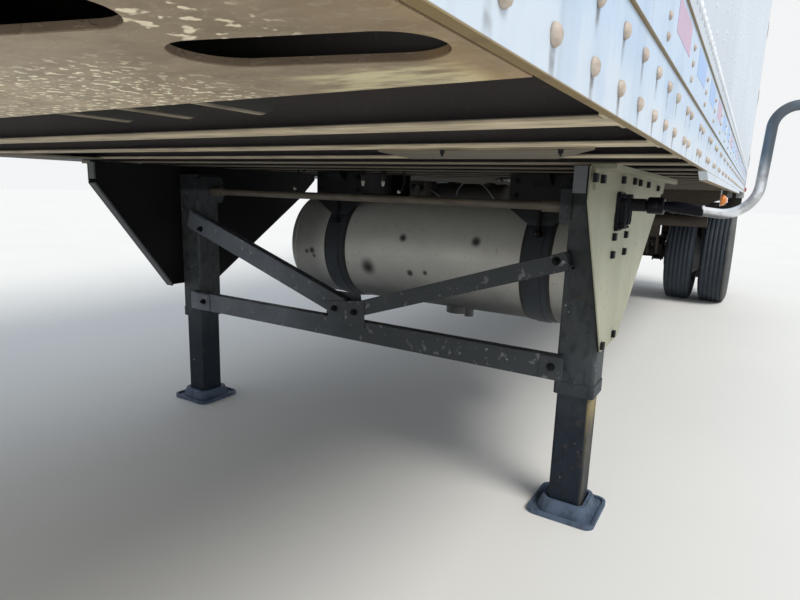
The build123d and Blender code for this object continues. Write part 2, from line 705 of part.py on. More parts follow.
def gearbox():
    """Two-speed gear case on the left leg's plate: a flanged base, a case and a shaft boss."""
    y0 = WING_Y + WING_THICK + SEAT
    low = SHAFT_Z - GEARBOX_BELOW
    high = low + GEARBOX_TALL
    base = block((LEG_X - GEARBOX_HALF, LEG_X + GEARBOX_HALF), (y0, y0 + GEARBOX_FLANGE), (low, high))
    base = fillet(base.edges().filter_by(Axis.Y), 16)
    half = GEARBOX_HALF - 14
    case = block((LEG_X - half, LEG_X + half), (y0, y0 + GEARBOX_CASE), (low + 12, high - 12))
    case = fillet(case.edges().filter_by(Axis.Y), 26)
    case = base + chamfer(case.faces().sort_by(Axis.Y)[-1].edges(), 7)
    case += rod_y(LEG_X, CRANK_Z, y0 + GEARBOX_CASE - 5, y0 + GEARBOX_OUT, GEARBOX_BOSS)
    case -= rod_y(LEG_X, CRANK_Z, y0 + GEARBOX_CASE, y0 + GEARBOX_OUT + 1, CRANK_RADIUS + PIN_FIT)
    return case


CRANK_RADIUS = 14.3
CRANK_Z = GROUND + 1095
CRANK_ROUTE = [          # y and height above ground of each corner of the bent bar
    (1105, 1095), (1190, 1095), (1425, 1068), (1438, 1378), (1600, 1384),
]
CRANK_BENDS = (150, 90, 60)
CRANK_COUPLING = (26, 50)        # radius and length of the pinned coupling at the gearbox
CRANK_TUBE = (17.5, 92)          # radius and length of the tube that the bare bar folds in


def crank():
    """Folding crank: a worn round bar bent up and out to a hand grip."""
    points = [(LEG_X, y, GROUND + z) for y, z in CRANK_ROUTE]
    route = FilletPolyline(*points, radius=CRANK_BENDS)
    tangent = route % 0
    bar = sweep(Plane(origin=route @ 0, z_dir=tangent) * Circle(CRANK_RADIUS), path=route)
    start = WING_Y + WING_THICK + GEARBOX_OUT + RUN / 2
    radius, length = CRANK_COUPLING
    coupling = rod_y(LEG_X, CRANK_Z, start, start + length, radius)
    coupling = chamfer(coupling.edges().filter_by(GeomType.CIRCLE), 4)
    radius, length = CRANK_TUBE
    (y0, z0), (y1, z1) = CRANK_ROUTE[1], CRANK_ROUTE[2]
    lean = Plane(origin=(LEG_X, y0, GROUND + z0), z_dir=(0, y1 - y0, z1 - z0))
    sleeve = coupling + lean * Pos(0, 0, length / 2 + 12) * Cylinder(radius, length)
    end = route @ 1
    return bar + sleeve + Pos(end.X, end.Y, end.Z) * Sphere(CRANK_RADIUS)


# Fuel tank of the refrigeration unit, slung behind the landing gear
TANK_X = LEG_X - 724
TANK_Z = GROUND + 804
TANK_RADIUS = 280
TANK_RIGHT = -777
TANK_LEFT = 850
TANK_KNUCKLE = 38
STRAP_PLACES = (-456, 641)
STRAP_WIDTH = 110
TANK_STRAP_THICK = 5
SUMP_Y = 170
FILLER_INSET = 48
HANGER_HALF = 150        # half width of a hanger's end plates
HANGER_PLATE = 8


def fuel_tank():
    """Round tank with dished ends, lying across the trailer, with its filler and drain."""
    r = TANK_RADIUS
    tank = rod_y(TANK_X, TANK_Z, TANK_RIGHT, TANK_LEFT, r)
    tank = fillet(tank.edges().filter_by(GeomType.CIRCLE), TANK_KNUCKLE)
    tank += Pos(TANK_X, TANK_LEFT - FILLER_INSET, TANK_Z) * Rot(0, 52, 0) * Pos(0, 0, r) * Cylinder(38, 76)
    tank += Pos(TANK_X + 30, SUMP_Y, TANK_Z - r) * Cylinder(62, 44)
    tank += Pos(TANK_X + 30, SUMP_Y + 62, TANK_Z - r - 8) * Cylinder(24, 56)
    return tank


def tank_straps():
    """Steel strap loops over a rubber liner, drawn up to the hangers."""
    pieces = []
    r0 = TANK_RADIUS + SEAT
    r1 = r0 + TANK_STRAP_THICK
    for y in STRAP_PLACES:
        loop = Cylinder(r1, STRAP_WIDTH) - Cylinder(r0, STRAP_WIDTH)
        rib = Cylinder(r1 + 4, STRAP_WIDTH * 0.45) - Cylinder(r0, STRAP_WIDTH * 0.45)
        pieces.append(Pos(TANK_X, y, TANK_Z) * Rot(90, 0, 0) * (loop + rib))
    return pieces


def tank_hangers():
    """Saddles over the tank between V-shaped end plates, hung from the cross beams."""
    pieces = []
    r = TANK_RADIUS + TANK_STRAP_THICK + 4 + SEAT * 2
    top = HUNG
    reach = 235
    for y in STRAP_PLACES:
        half = 42
        saddle = along_y([(TANK_X - 300, top), (TANK_X + 300, top), (TANK_X + 300, top - 10),
                          (TANK_X + reach, top - 60), (TANK_X + reach, TANK_Z + 190),
                          (TANK_X - reach, TANK_Z + 190), (TANK_X - reach, top - 60),
                          (TANK_X - 300, top - 10)], y - half, y + half)
        outline = [(y - HANGER_HALF, top), (y - HANGER_HALF, top - 146), (y - 50, TANK_Z + 180),
                   (y + 50, TANK_Z + 180), (y + HANGER_HALF, top - 146), (y + HANGER_HALF, top)]
        for x in (TANK_X - reach - HANGER_PLATE, TANK_X + reach):
            saddle += along_x(outline, x, x + HANGER_PLATE)
        saddle -= rod_y(TANK_X, TANK_Z, y - HANGER_HALF - 1, y + HANGER_HALF + 1, r)
        pieces.append(saddle)
    return pieces


# Suspension, axle and brakes
TYRE_RADIUS = 505
TYRE_WIDTH = 279
DUAL_SPACING = 343
TRACK = 1926             # between the centres of the two pairs
AXLE_Z = GROUND + TYRE_RADIUS
AXLE_RADIUS = 63.5
SPRING_Y = 530
SPRING_WIDTH = 76
SPRING_HALF = 520
SUBFRAME_HEIGHT = 130
SUBFRAME_FRONT = AXLE_X + 1000
SUBFRAME_REAR = AXLE_X - 640


def subframe():
    """Two channel runners under the cross beams, tied by two cross members."""
    top = HUNG
    low = top - SUBFRAME_HEIGHT
    web_y = SPRING_Y
    flange = 60
    thick = 8
    section = [(web_y - thick / 2, low), (web_y + flange, low), (web_y + flange, low + thick),
               (web_y + thick / 2, low + thick), (web_y + thick / 2, top - thick),
               (web_y + flange, top - thick), (web_y + flange, top), (web_y - thick / 2, top)]
    runner = along_x(section, SUBFRAME_REAR, SUBFRAME_FRONT)
    pieces = both(runner)
    inner = web_y - thick / 2 - SEAT
    for x in (AXLE_X + SPRING_HALF, AXLE_X - SPRING_HALF):
        pieces.append(along_y([(x - 40, low), (x + 40, low), (x + 40, low + thick),
                               (x - 40 + thick, low + thick), (x - 40 + thick, top - thick),
                               (x + 40, top - thick), (x + 40, top), (x - 40, top)],
                              -inner, inner))
    return pieces


def spring_hangers():
    """Fabricated hangers at the springs' ends, the front ones gusseted outwards."""
    top = HUNG - SUBFRAME_HEIGHT - SEAT
    half = SPRING_WIDTH / 2 + 10
    pieces = []
    for end in (1, -1):
        x = AXLE_X + end * SPRING_HALF
        low = AXLE_Z + 20
        outline = [(x - 110, top), (x + 110, top), (x + 55, low), (x - 55, low)]
        box = along_y(outline, SPRING_Y - half, SPRING_Y + half)
        tip = SPRING_TOP + SPRING_CAMBER * (LEAVES[0][0] / SPRING_HALF) ** 2
        slot = block((x - 120, x + 120), (SPRING_Y - half + 9, SPRING_Y + half - 9),
                     (low - 1, tip + SEAT))
        box -= slot
        pieces += both(box)
    return pieces


CROSS_TUBE_RADIUS = 57
CROSS_TUBE_X = AXLE_X + 669.1
CROSS_TUBE_Z = -310
CROSS_TUBE_HALF = 1035
OUTRIGGER_DROP = 166


def cross_tube():
    """Tube welded across the front hangers, in front of the tyres."""
    return rod_y(CROSS_TUBE_X, CROSS_TUBE_Z, -CROSS_TUBE_HALF, CROSS_TUBE_HALF, CROSS_TUBE_RADIUS)


def outriggers():
    """Gusset panels that stand out from the subframe's front end to the side rails."""
    x = SUBFRAME_FRONT - 60
    low = HUNG - OUTRIGGER_DROP
    inner = SPRING_Y + 60 + SEAT
    panel = along_x([(inner, low), (inner + 350, low), (SIDE - 110, -70),
                     (SIDE - 110, HUNG), (inner, HUNG)], x - 6, x)
    flange = block((x - 60, x), (inner, inner + 350), (low, low + 6))
    return both(panel + flange)


SPRING_TOP = AXLE_Z + AXLE_RADIUS + 95
SPRING_CAMBER = 46
LEAVES = [               # half length and thickness, from the top leaf down
    (500, 22),
    (470, 22),
    (330, 20),
]


def leaf_springs():
    """Three-leaf packs, gently cambered, clamped to the axle by U bolts."""
    top = SPRING_TOP
    half = SPRING_WIDTH / 2
    pack = None
    z = top
    for length, thick in LEAVES:
        sag = SPRING_CAMBER * (length / SPRING_HALF) ** 2
        outline = (ThreePointArc((-length, z + sag), (0, z), (length, z + sag))
                   + Line((length, z + sag), (length, z + sag - thick))
                   + ThreePointArc((length, z + sag - thick), (0, z - thick), (-length, z + sag - thick))
                   + Line((-length, z + sag - thick), (-length, z + sag)))
        leaf = Pos(AXLE_X, SPRING_Y - half, 0) * extrude(Plane.XZ * make_face(outline),
                                                        SPRING_WIDTH, dir=(0, 1, 0))
        pack = leaf if pack is None else pack + leaf
        z -= thick
    seat_top = z
    seat = block((AXLE_X - 85, AXLE_X + 85), (SPRING_Y - half, SPRING_Y + half),
                 (AXLE_Z + 20, seat_top))
    seat -= rod_y(AXLE_X, AXLE_Z, SPRING_Y - half - 1, SPRING_Y + half + 1, AXLE_RADIUS + SEAT)
    clamp = block((AXLE_X - 85, AXLE_X + 85), (SPRING_Y - half - 14, SPRING_Y + half + 14),
                  (top, top + 22))
    pack += seat + clamp
    low = block((AXLE_X - 85, AXLE_X + 85), (SPRING_Y - half - 14, SPRING_Y + half + 14),
                (AXLE_Z - AXLE_RADIUS - 20, AXLE_Z - AXLE_RADIUS - SEAT))
    pack += low
    for dx in (-72, 72):
        for dy in (-1, 1):
            pack += rod_z(AXLE_X + dx, SPRING_Y + dy * (half + 7), AXLE_Z - AXLE_RADIUS - 34,
                          top + 36, 7)
    return both(pack)


DRUM_RADIUS = 210
DRUM_IN = 640            # inner edge of the brake drum
DRUM_OUT = 850
SPINDLE_RADIUS = 38


def axle():
    """Round beam with turned spindles, brake spiders and cam tubes."""
    beam = rod_y(AXLE_X, AXLE_Z, -DRUM_IN, DRUM_IN, AXLE_RADIUS)
    for side in (1, -1):
        inner, outer = sorted((side * (DRUM_IN - 1), side * (TRACK / 2 + 130)))
        beam += rod_y(AXLE_X, AXLE_Z, inner, outer, SPINDLE_RADIUS)
        inner, outer = sorted((side * (DRUM_IN - 24), side * (DRUM_IN - 6)))
        beam += rod_y(AXLE_X, AXLE_Z, inner, outer, DRUM_RADIUS - 30)
    return beam


def brake_chambers():
    """Spring brake chambers on brackets behind the beam, with push rods and cam shafts."""
    pieces = []
    x = AXLE_X - 170
    z = AXLE_Z + 30
    y = 330
    outline = [(0, -110), (70, -110), (82, -96), (82, -30), (96, -22), (96, 0), (82, 8), (82, 70),
               (60, 86), (30, 92), (0, 92)]
    pot = Pos(x, y, z) * revolve(Polygon(*outline, align=None), Axis.Y)
    pot += rod_y(x, z, y - 150, y - 100, 14)
    arm = block((x - 10, AXLE_X - AXLE_RADIUS - SEAT), (y - 30, y + 30), (z - 40, z - 20))
    pieces += both(pot + arm)
    return pieces


def dual_centres():
    """Y of the inner and the outer tyre on the left side."""
    middle = TRACK / 2
    return middle - DUAL_SPACING / 2, middle + DUAL_SPACING / 2


BEAD_RADIUS = 290
TREAD_HALF = 112


def tyre(centre):
    """Radial tyre: crowned tread, square shoulders, bulged walls, hollow inside."""
    r = TYRE_RADIUS
    w = TYRE_WIDTH / 2
    t = TREAD_HALF
    crown = 4
    side = [(BEAD_RADIUS, w - 34), (BEAD_RADIUS + 40, w - 14), (BEAD_RADIUS + 100, w),
            (r - 84, w - 6), (r - 26, t + 10), (r - crown, t - 4)]
    far = [(radius, -y) for radius, y in reversed(side)]
    inside = [(BEAD_RADIUS, -w + 62), (r - 70, -w + 28), (r - 34, 0), (r - 70, w - 28),
              (BEAD_RADIUS, w - 62)]
    section = turned(side + [(r, 0)] + far + inside)
    return Pos(AXLE_X, centre, AXLE_Z) * section


RIM_THICK = 9
HAND_HOLES = 5
DISC_RADIUS = 168


def wheel_disc(centre, inward):
    """Steel disc wheel with hand holes; its disc meets its twin at the pair's middle."""
    r = BEAD_RADIUS - SEAT
    w = TYRE_WIDTH / 2 - 30
    reach = DUAL_SPACING / 2
    s = 1 if inward else -1
    rim = [(r - 6, -w), (r, -w + 10), (r, w - 10), (r - 6, w),
           (r - 6 - RIM_THICK, w), (r - 26, w - 40), (r - 26, -w + 40), (r - 6 - RIM_THICK, -w)]
    ring = turned(rim)
    y0 = s * (reach - SEAT)
    disc_points = [(90, y0), (DISC_RADIUS, y0), (DISC_RADIUS + 44, s * (reach - 60)),
                   (r - 24, s * 34), (r - 24, s * 22), (DISC_RADIUS + 30, s * (reach - 66)),
                   (DISC_RADIUS - 6, y0 - s * RIM_THICK), (90, y0 - s * RIM_THICK)]
    disc = turned(disc_points)
    for i in range(HAND_HOLES):
        turn = 360 * i / HAND_HOLES
        disc -= Rot(0, turn, 0) * Pos(DISC_RADIUS + 52, s * 60, 0) * Rot(90, 0, 0) * (
            Cylinder(27, 120))
    return Pos(AXLE_X, centre, AXLE_Z) * (ring + disc)


def wheel_pair():
    """The left pair of disc wheels, bolted back to back."""
    inner, outer = dual_centres()
    return [wheel_disc(inner, True), wheel_disc(outer, False)]


STUD_COUNT = 10
STUD_CIRCLE = 143


def hub():
    """Left hub and brake drum: drum, flange, nuts and the oil cap beyond the discs."""
    middle = TRACK / 2
    face = middle - RIM_THICK - SEAT * 2
    outline = [(DRUM_RADIUS - 12, DRUM_IN), (DRUM_RADIUS, DRUM_IN), (DRUM_RADIUS, DRUM_OUT - 10),
               (DRUM_RADIUS - 14, DRUM_OUT + 6), (158, face), (88, face), (86, middle + 70),
               (70, middle + 92), (58, middle + 150), (40, middle + 162), (0, middle + 164),
               (0, TRACK / 2 + 132), (SPINDLE_RADIUS + PIN_FIT, TRACK / 2 + 132),
               (SPINDLE_RADIUS + PIN_FIT, DRUM_OUT - 30), (DRUM_RADIUS - 16, DRUM_OUT - 30)]
    body = Pos(AXLE_X, 0, AXLE_Z) * turned(outline)
    for i in range(STUD_COUNT):
        a = 2 * pi * i / STUD_COUNT
        body += rod_y(AXLE_X + STUD_CIRCLE * sin(a), AXLE_Z + STUD_CIRCLE * cos(a),
                      middle + RIM_THICK + SEAT * 2, middle + 46, 16)
    return body


# Rear guard, flaps, lamps and small outfit
GUARD_LOW = GROUND + 470
GUARD_TUBE = 100


def rear_guard():
    """Rear impact guard: a square beam on two legs with raking stays."""
    x = REAR + 40
    beam = block((x, x + GUARD_TUBE), (-1160, 1160), (GUARD_LOW, GUARD_LOW + GUARD_TUBE))
    beam = fillet(beam.edges().filter_by(Axis.Y), 12)
    for side in (1, -1):
        y0, y1 = sorted((side * 560, side * 640))
        beam += block((x + 10, x + 90), (y0, y1), (GUARD_LOW + GUARD_TUBE - 1, -SILL_DROP - SEAT))
        beam += along_y([(x + 90, GUARD_LOW + 110), (x + 410, -60), (x + 410, HUNG),
                         (x + 360, HUNG), (x + 90, GUARD_LOW + 190)], y0 + 30, y1 - 30)
    return beam


def dock_bumpers():
    """Rubber blocks under the rear corners."""
    pieces = []
    for i in range(3):
        z = -SILL_DROP - SEAT - 42 * i
        pieces.append(block((REAR + 6, REAR + 90), (SIDE - 150, SIDE - 20), (z - 36, z)))
    plate = block((REAR + 90 + SEAT, REAR + 100), (SIDE - 160, SIDE - 14),
                  (-SILL_DROP - 130, -SILL_DROP - SEAT))
    return both(pieces[0] + pieces[1] + pieces[2] + plate)


FLAP_X = AXLE_X - TYRE_RADIUS - 110


FLAP_INNER = 655
FLAP_OUTER = 1265
FLAP_HIGH = -150
FLAP_CLEAR = 170         # above the ground
FLAP_POSTS = (700, 1200)


def mud_flaps():
    """Rubber flaps behind the wheels on tube hangers."""
    return both(block((FLAP_X - 5, FLAP_X + 5), (FLAP_INNER, FLAP_OUTER),
                      (GROUND + FLAP_CLEAR, FLAP_HIGH)))


def flap_hangers():
    """Brackets that carry the flaps from the deck."""
    bar = block((FLAP_X - 14, FLAP_X + 5), (FLAP_INNER - 15, FLAP_OUTER + 5),
                (FLAP_HIGH + SEAT, FLAP_HIGH + 32))
    for y in FLAP_POSTS:
        bar += block((FLAP_X - 14, FLAP_X + 5), (y - 20, y + 20), (FLAP_HIGH + 31, FLOOR_BOTTOM - SEAT))
    return both(bar)


MARKER_RADIUS = 32


def marker_lamps():
    """Amber side and roof lamps, domed."""
    dome = revolve(Polygon((0, 0), (MARKER_RADIUS, 0), (MARKER_RADIUS, 10), (22, 26), (0, 34),
                           align=None), Axis.Y)
    pieces = []
    for x, y, z in ((NOSE - 260, SIDE - RAIL_STEP * 2 + SEAT, 58),
                    (MID_LAMP_X, SIDE - 45 + SEAT, -86)):
        pieces += both(Pos(x, y, z) * dome)
    for y in (-1130, 1130):
        pieces.append(Pos(NOSE + SEAT, y, TOP - 60) * Rot(0, 0, -90) * dome)
    return pieces


MID_LAMP_X = (NOSE + REAR) / 2 - 300


def lamp_brackets():
    """Bent brackets for the lamps at mid length, under the lower rails."""
    y = SIDE - 45
    low = HUNG - LOWER_RAIL_DROP - SEAT
    bracket = block((MID_LAMP_X - 40, MID_LAMP_X + 40), (y - 4, y), (low - 96, low))
    bracket += block((MID_LAMP_X - 40, MID_LAMP_X + 40), (y, SIDE - RAIL_STEP * 2), (low - 4, low))
    return both(bracket)


def tail_lamps():
    """Red lamps: three in the header, two round ones each side of the sill, side markers."""
    dome = revolve(Polygon((0, 0), (54, 0), (54, 8), (44, 16), (0, 20), align=None), Axis.Y)
    pieces = []
    z = (FLOOR_TOP - SILL_DROP) / 2
    for y in (860, 1010):
        pieces += both(Pos(REAR - SEAT, y, z) * Rot(0, 0, 90) * dome)
    small = revolve(Polygon((0, 0), (26, 0), (26, 8), (16, 16), (0, 18), align=None), Axis.Y)
    for y in (-160, 0, 160):
        pieces.append(Pos(REAR - SEAT, y, TOP - 66) * Rot(0, 0, 90) * small)
    pieces += both(Pos(REAR + FRAME_DEPTH / 2, SIDE + SEAT, 40) * small)
    return pieces


AIR_TANK_RADIUS = 115
AIR_TANK_Z = -124
AIR_TANKS = [            # which beam it hangs from, y of its two ends
    (19, -330, 330),
    (14, -1235, -490),
]
VALVE_BEAMS = (12, 13)
VALVE_Y = -1202
VALVE_DROP = 150


def air_tanks():
    """Brake air reservoirs, each across the trailer on two straps under a beam."""
    pieces = []
    z = AIR_TANK_Z
    for beam, y0, y1 in AIR_TANKS:
        x = beam_places()[beam]
        tank = fillet(rod_y(x, z, y0, y1, AIR_TANK_RADIUS).edges(), 34)
        for y in ((y0 + y1) / 2 - 200, (y0 + y1) / 2 + 200):
            tank += block((x - 60, x + 60), (y - 20, y + 20), (z + 80, HUNG))
        pieces.append(tank)
    return pieces


def valve_plate():
    """Plate under two beams on the right-hand side, with the brake valves on its inner face."""
    front, rear = [beam_places()[beam] for beam in VALVE_BEAMS]
    plate = block((rear - 176, front + 60), (VALVE_Y - 8, VALVE_Y), (HUNG - VALVE_DROP, HUNG))
    plate += block((rear - 182, rear - 174), (VALVE_Y - 54, VALVE_Y + 42), (HUNG - VALVE_DROP, HUNG))
    for x in (front - 80, front - 230):
        plate += rod_y(x, HUNG - VALVE_DROP / 2, VALVE_Y - 1, VALVE_Y + 70, 42)
    return plate


def front_connectors():
    """Nose box with two air couplings and the electric socket."""
    plate = block((NOSE + SEAT, NOSE + 14), (-210, 210), (250, 400))
    plate = fillet(plate.edges().filter_by(Axis.X), 16)
    for y in (-140, 140):
        plate += rod_x(y, 320, NOSE + 13, NOSE + 60, 22)
        plate += block((NOSE + 48, NOSE + 76), (y - 34, y + 34), (296, 350))
    plate += rod_x(0, 320, NOSE + 13, NOSE + 62, 42)
    return plate


def write(name, shape):
    """One STEP file for each node; like pieces on one body share a file."""
    if isinstance(shape, list):
        shape = Compound(children=[piece for item in shape for piece in item.solids()])
    export_step(shape, f"parts/{name}.step")


os.makedirs("parts", exist_ok=True)

door = door_panel()
hardware = door_hardware()
wheels = wheel_pair()
left_hub = hub()
inner_centre, outer_centre = dual_centres()

NODES = {
    "coupler_plate": coupler_plate(),
    "kingpin": kingpin(),
    "coupler_gussets": gussets() + stiffeners(),
    "cross_members": coupler_channels() + cross_beams(),
    "side_rails": side_rails(),
    "lower_rails": lower_rails(),
    "floor": floor(),
    "side_wall_left": side_wall(),
    "side_wall_right": mirrored(side_wall()),
    "top_rails": top_rails(),
    "roof": roof(),
    "nose_wall": nose_wall(),
    "rear_frame": rear_frame(),
    "door_fittings": hinge_lugs() + lock_keepers(),
    "door_left": door,
    "door_right": mirrored(door),
    "door_hardware_left": hardware,
    "door_hardware_right": [mirrored(piece) for piece in hardware],
    "unit_housing": unit_housing(),
    "unit_grille": unit_grille(),
    "leg_tubes": leg_tubes(),
    "leg_inner_tubes": leg_inner_tubes(),
    "feet": feet(),
    "wing_plates": wing_plates(),
    "leg_brace": leg_brace(),
    "cross_shaft": cross_shaft(),
    "gearbox": gearbox(),
    "crank": crank(),
    "fuel_tank": fuel_tank(),
    "tank_mountings": tank_straps() + tank_hangers(),
    "subframe": subframe(),
    "spring_hangers": spring_hangers() + outriggers() + [cross_tube()],
    "leaf_springs": leaf_springs(),
    "axle": axle(),
    "air_brakes": brake_chambers() + air_tanks() + [valve_plate()],
    "tyre_left_inner": tyre(inner_centre),
    "tyre_left_outer": tyre(outer_centre),
    "tyre_right_inner": mirrored(tyre(inner_centre)),
    "tyre_right_outer": mirrored(tyre(outer_centre)),
    "wheels_left": wheels,
    "wheels_right": [mirrored(piece) for piece in wheels],
    "hub_left": left_hub,
    "hub_right": mirrored(left_hub),
    "rear_guard": rear_guard(),
    "dock_bumpers": dock_bumpers(),
    "mud_flaps": mud_flaps(),
    "flap_hangers": flap_hangers(),
    "marker_lamps": marker_lamps(),
    "lamp_brackets": lamp_brackets(),
    "tail_lamps": tail_lamps(),
    "front_connectors": front_connectors(),
}
for node, shape in NODES.items():
    write(node, shape)
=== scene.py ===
"""Dresses a refrigerated semi trailer parked on its landing gear.

Metres. X runs to the nose, Y to the left side, Z up, and the floor is where the feet stand.
Each section follows one piece of the trailer, from the coupler back to the rear guard.
"""
import bpy
import numpy as np
from mathutils import Matrix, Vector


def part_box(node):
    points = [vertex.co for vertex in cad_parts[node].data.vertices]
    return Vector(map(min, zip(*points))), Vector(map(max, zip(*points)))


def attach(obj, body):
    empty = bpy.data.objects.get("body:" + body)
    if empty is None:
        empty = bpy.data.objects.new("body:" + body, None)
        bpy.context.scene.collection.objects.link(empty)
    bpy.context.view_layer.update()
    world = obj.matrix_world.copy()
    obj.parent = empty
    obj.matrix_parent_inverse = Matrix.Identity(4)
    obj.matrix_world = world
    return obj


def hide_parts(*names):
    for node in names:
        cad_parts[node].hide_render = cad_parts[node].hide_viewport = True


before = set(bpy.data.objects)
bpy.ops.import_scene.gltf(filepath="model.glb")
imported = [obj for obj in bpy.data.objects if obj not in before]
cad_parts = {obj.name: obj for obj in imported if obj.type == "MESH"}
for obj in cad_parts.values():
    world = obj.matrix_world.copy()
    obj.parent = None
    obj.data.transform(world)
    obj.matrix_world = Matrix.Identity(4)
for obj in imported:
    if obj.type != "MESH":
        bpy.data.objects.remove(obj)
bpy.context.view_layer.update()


# Studio. The camera stands low under the left front corner and looks back and inboard; one broad
# lamp stands over the left side, a pale sky fills in, and the floor is plain and pale.
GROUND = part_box("feet")[0][2]
EYE = (-0.13620, 1.42233, -0.08135)
YAW, PITCH, ROLL = 0.5473133, 0.1925483, 0.0312349
LENS = 25.54
FLOOR_COLOUR = (238, 235, 228)


def srgb(red, green, blue):
    """A colour as a screen shows it, from 0 to 255, turned into linear light."""
    share = np.array([red, green, blue]) / 255
    linear = np.where(share < 0.04045, share / 12.92, ((share + 0.055) / 1.055) ** 2.4)
    return (*linear.tolist(), 1.0)


class Shade:
    """A node's output that can be used in sums, which add Math nodes."""

    def __init__(self, coat, socket):
        self.coat = coat
        self.socket = socket

    def sum(self, operation, first, second):
        return self.coat.node("Math", {"operation": operation}, {0: first, 1: second})

    def __add__(self, other):
        return self.sum("ADD", self, other)

    def __radd__(self, other):
        return self.sum("ADD", other, self)

    def __sub__(self, other):
        return self.sum("SUBTRACT", self, other)

    def __rsub__(self, other):
        return self.sum("SUBTRACT", other, self)

    def __mul__(self, other):
        return self.sum("MULTIPLY", self, other)

    def __rmul__(self, other):
        return self.sum("MULTIPLY", other, self)

    def __mod__(self, other):
        return self.sum("FLOORED_MODULO", self, other)

    def __abs__(self):
        return self.sum("ABSOLUTE", self, 0)

    def __gt__(self, other):
        return self.sum("GREATER_THAN", self, other)

    def __lt__(self, other):
        return self.sum("LESS_THAN", self, other)


class Coat:
    """One finish: a material, its shader and the nodes that feed it."""

    def __init__(self, name, slot="", **fixed):
        self.slot = slot
        self.material = bpy.data.materials.new(name)
        self.material.use_nodes = True
        self.tree = self.material.node_tree
        self.shader = self.tree.nodes["Principled BSDF"]
        for words, value in fixed.items():
            self.shader.inputs[words.replace("_", " ")].default_value = value
        self.place = self.node("TexCoord", output="Object")
        self.x, self.y, self.z = self.node("SeparateXYZ", inputs={0: self.place}, output=(0, 1, 2))

    def node(self, kind, settings=None, inputs=None, output=0):
        """A node of any kind: its settings first, then its sockets' values or links."""
        made = self.tree.nodes.new("ShaderNode" + kind)
        for name, value in (settings or {}).items():
            setattr(made, name, value)
        for key, value in (inputs or {}).items():
            if isinstance(value, Shade):
                self.tree.links.new(value.socket, made.inputs[key])
            else:
                made.inputs[key].default_value = value
        if isinstance(output, tuple):
            return [Shade(self, made.outputs[one]) for one in output]
        return Shade(self, made.outputs[output])

    def noise(self, scale, detail=3.0, stretch=(1, 1, 1), rough=0.55, warp=0.0):
        """Cloudy noise from 0 to 1; a stretch under 1 draws it out along that axis."""
        place = self.node("Mapping", None, {"Vector": self.place, "Scale": stretch})
        return self.node("TexNoise", None, {"Vector": place, "Scale": scale, "Detail": detail,
                                            "Roughness": rough, "Distortion": warp})

    def cells(self, scale):
        """Distance to the nearest of many scattered points."""
        return self.node("TexVoronoi", None, {"Vector": self.place, "Scale": scale})

    def ease(self, value, low, high):
        """0 below low and 1 above high, smooth between; falls instead where low is the larger."""
        return self.node("MapRange", {"interpolation_type": "SMOOTHSTEP"},
                         {"Value": value, "From Min": low, "From Max": high})

    def mix(self, share, under, over):
        """One colour going over into another."""
        return self.node("Mix", {"data_type": "RGBA"}, {0: share, 6: under, 7: over}, 2)

    def bump(self, height, depth):
        """Small relief: the shader's normal from a height, depth in metres."""
        self.feed(Normal=self.node("Bump", None, {"Height": height, "Distance": depth}))

    def feed(self, **shades):
        for words, shade in shades.items():
            self.tree.links.new(shade.socket, self.shader.inputs[words.replace("_", " ")])


def skin(grid):
    """Points and faces of a grid of positions, rows by columns; points that meet are welded."""
    rows, columns = grid.shape[:2]
    flat = grid.reshape(-1, 3)
    _, first, index = np.unique(np.round(flat, 6), axis=0, return_index=True, return_inverse=True)
    index = index.reshape(rows, columns)
    faces = np.stack([index[:-1, :-1], index[:-1, 1:], index[1:, 1:], index[1:, :-1]], axis=-1)
    points, faces = flat[first], faces.reshape(-1, 4)
    corner = points[faces]
    volume = (np.einsum("ij,ij->i", corner[:, 0], np.cross(corner[:, 1], corner[:, 2]))
              + np.einsum("ij,ij->i", corner[:, 0], np.cross(corner[:, 2], corner[:, 3]))).sum()
    return points, faces if volume > 0 else faces[:, ::-1]


def add(name, shapes, coat, body="trailer", smooth=False):
    """One piece from several shapes, with its finish, riding on a body."""
    starts = np.cumsum([0] + [len(points) for points, _ in shapes])
    points = np.vstack([points for points, _ in shapes])
    faces = np.vstack([faces + start for (_, faces), start in zip(shapes, starts)])
    corners = [list(dict.fromkeys(face)) for face in faces.tolist()]
    mesh = bpy.data.meshes.new(name)
    mesh.from_pydata(points.tolist(), [], [face for face in corners if len(face) > 2])
    if smooth:
        mesh.shade_smooth()
    mesh.materials.append(coat.material)
    piece = bpy.data.objects.new(name, mesh)
    bpy.context.scene.collection.objects.link(piece)
    if body:
        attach(piece, body)
    return piece


camera = bpy.data.cameras.new("camera")
camera.lens = LENS
camera.sensor_width = 36
camera.clip_start = 0.01
camera.clip_end = 300
forward = -np.array([np.cos(YAW) * np.cos(PITCH), np.sin(YAW) * np.cos(PITCH), np.sin(PITCH)])
level = np.cross(forward, (0, 0, 1))
level /= np.linalg.norm(level)
upright = np.cross(level, forward)
right = np.cos(ROLL) * level + np.sin(ROLL) * upright
top = np.cos(ROLL) * upright - np.sin(ROLL) * level
stand = bpy.data.objects.new("camera", camera)
stand.matrix_world = Matrix(np.column_stack([right, top, -forward, EYE]).tolist() + [[0, 0, 0, 1]])
bpy.context.scene.collection.objects.link(stand)
bpy.context.scene.camera = stand
bpy.context.scene.view_settings.view_transform = "Standard"

lamp = bpy.data.lights.new("lamp", "SUN")
lamp.energy = 2.2
lamp.angle = 0.5
lamp.color = (1.0, 0.985, 0.95)
lamp_stand = bpy.data.objects.new("lamp", lamp)
lamp_stand.rotation_euler = (-0.62, 0.30, 0.0)
bpy.context.scene.collection.objects.link(lamp_stand)

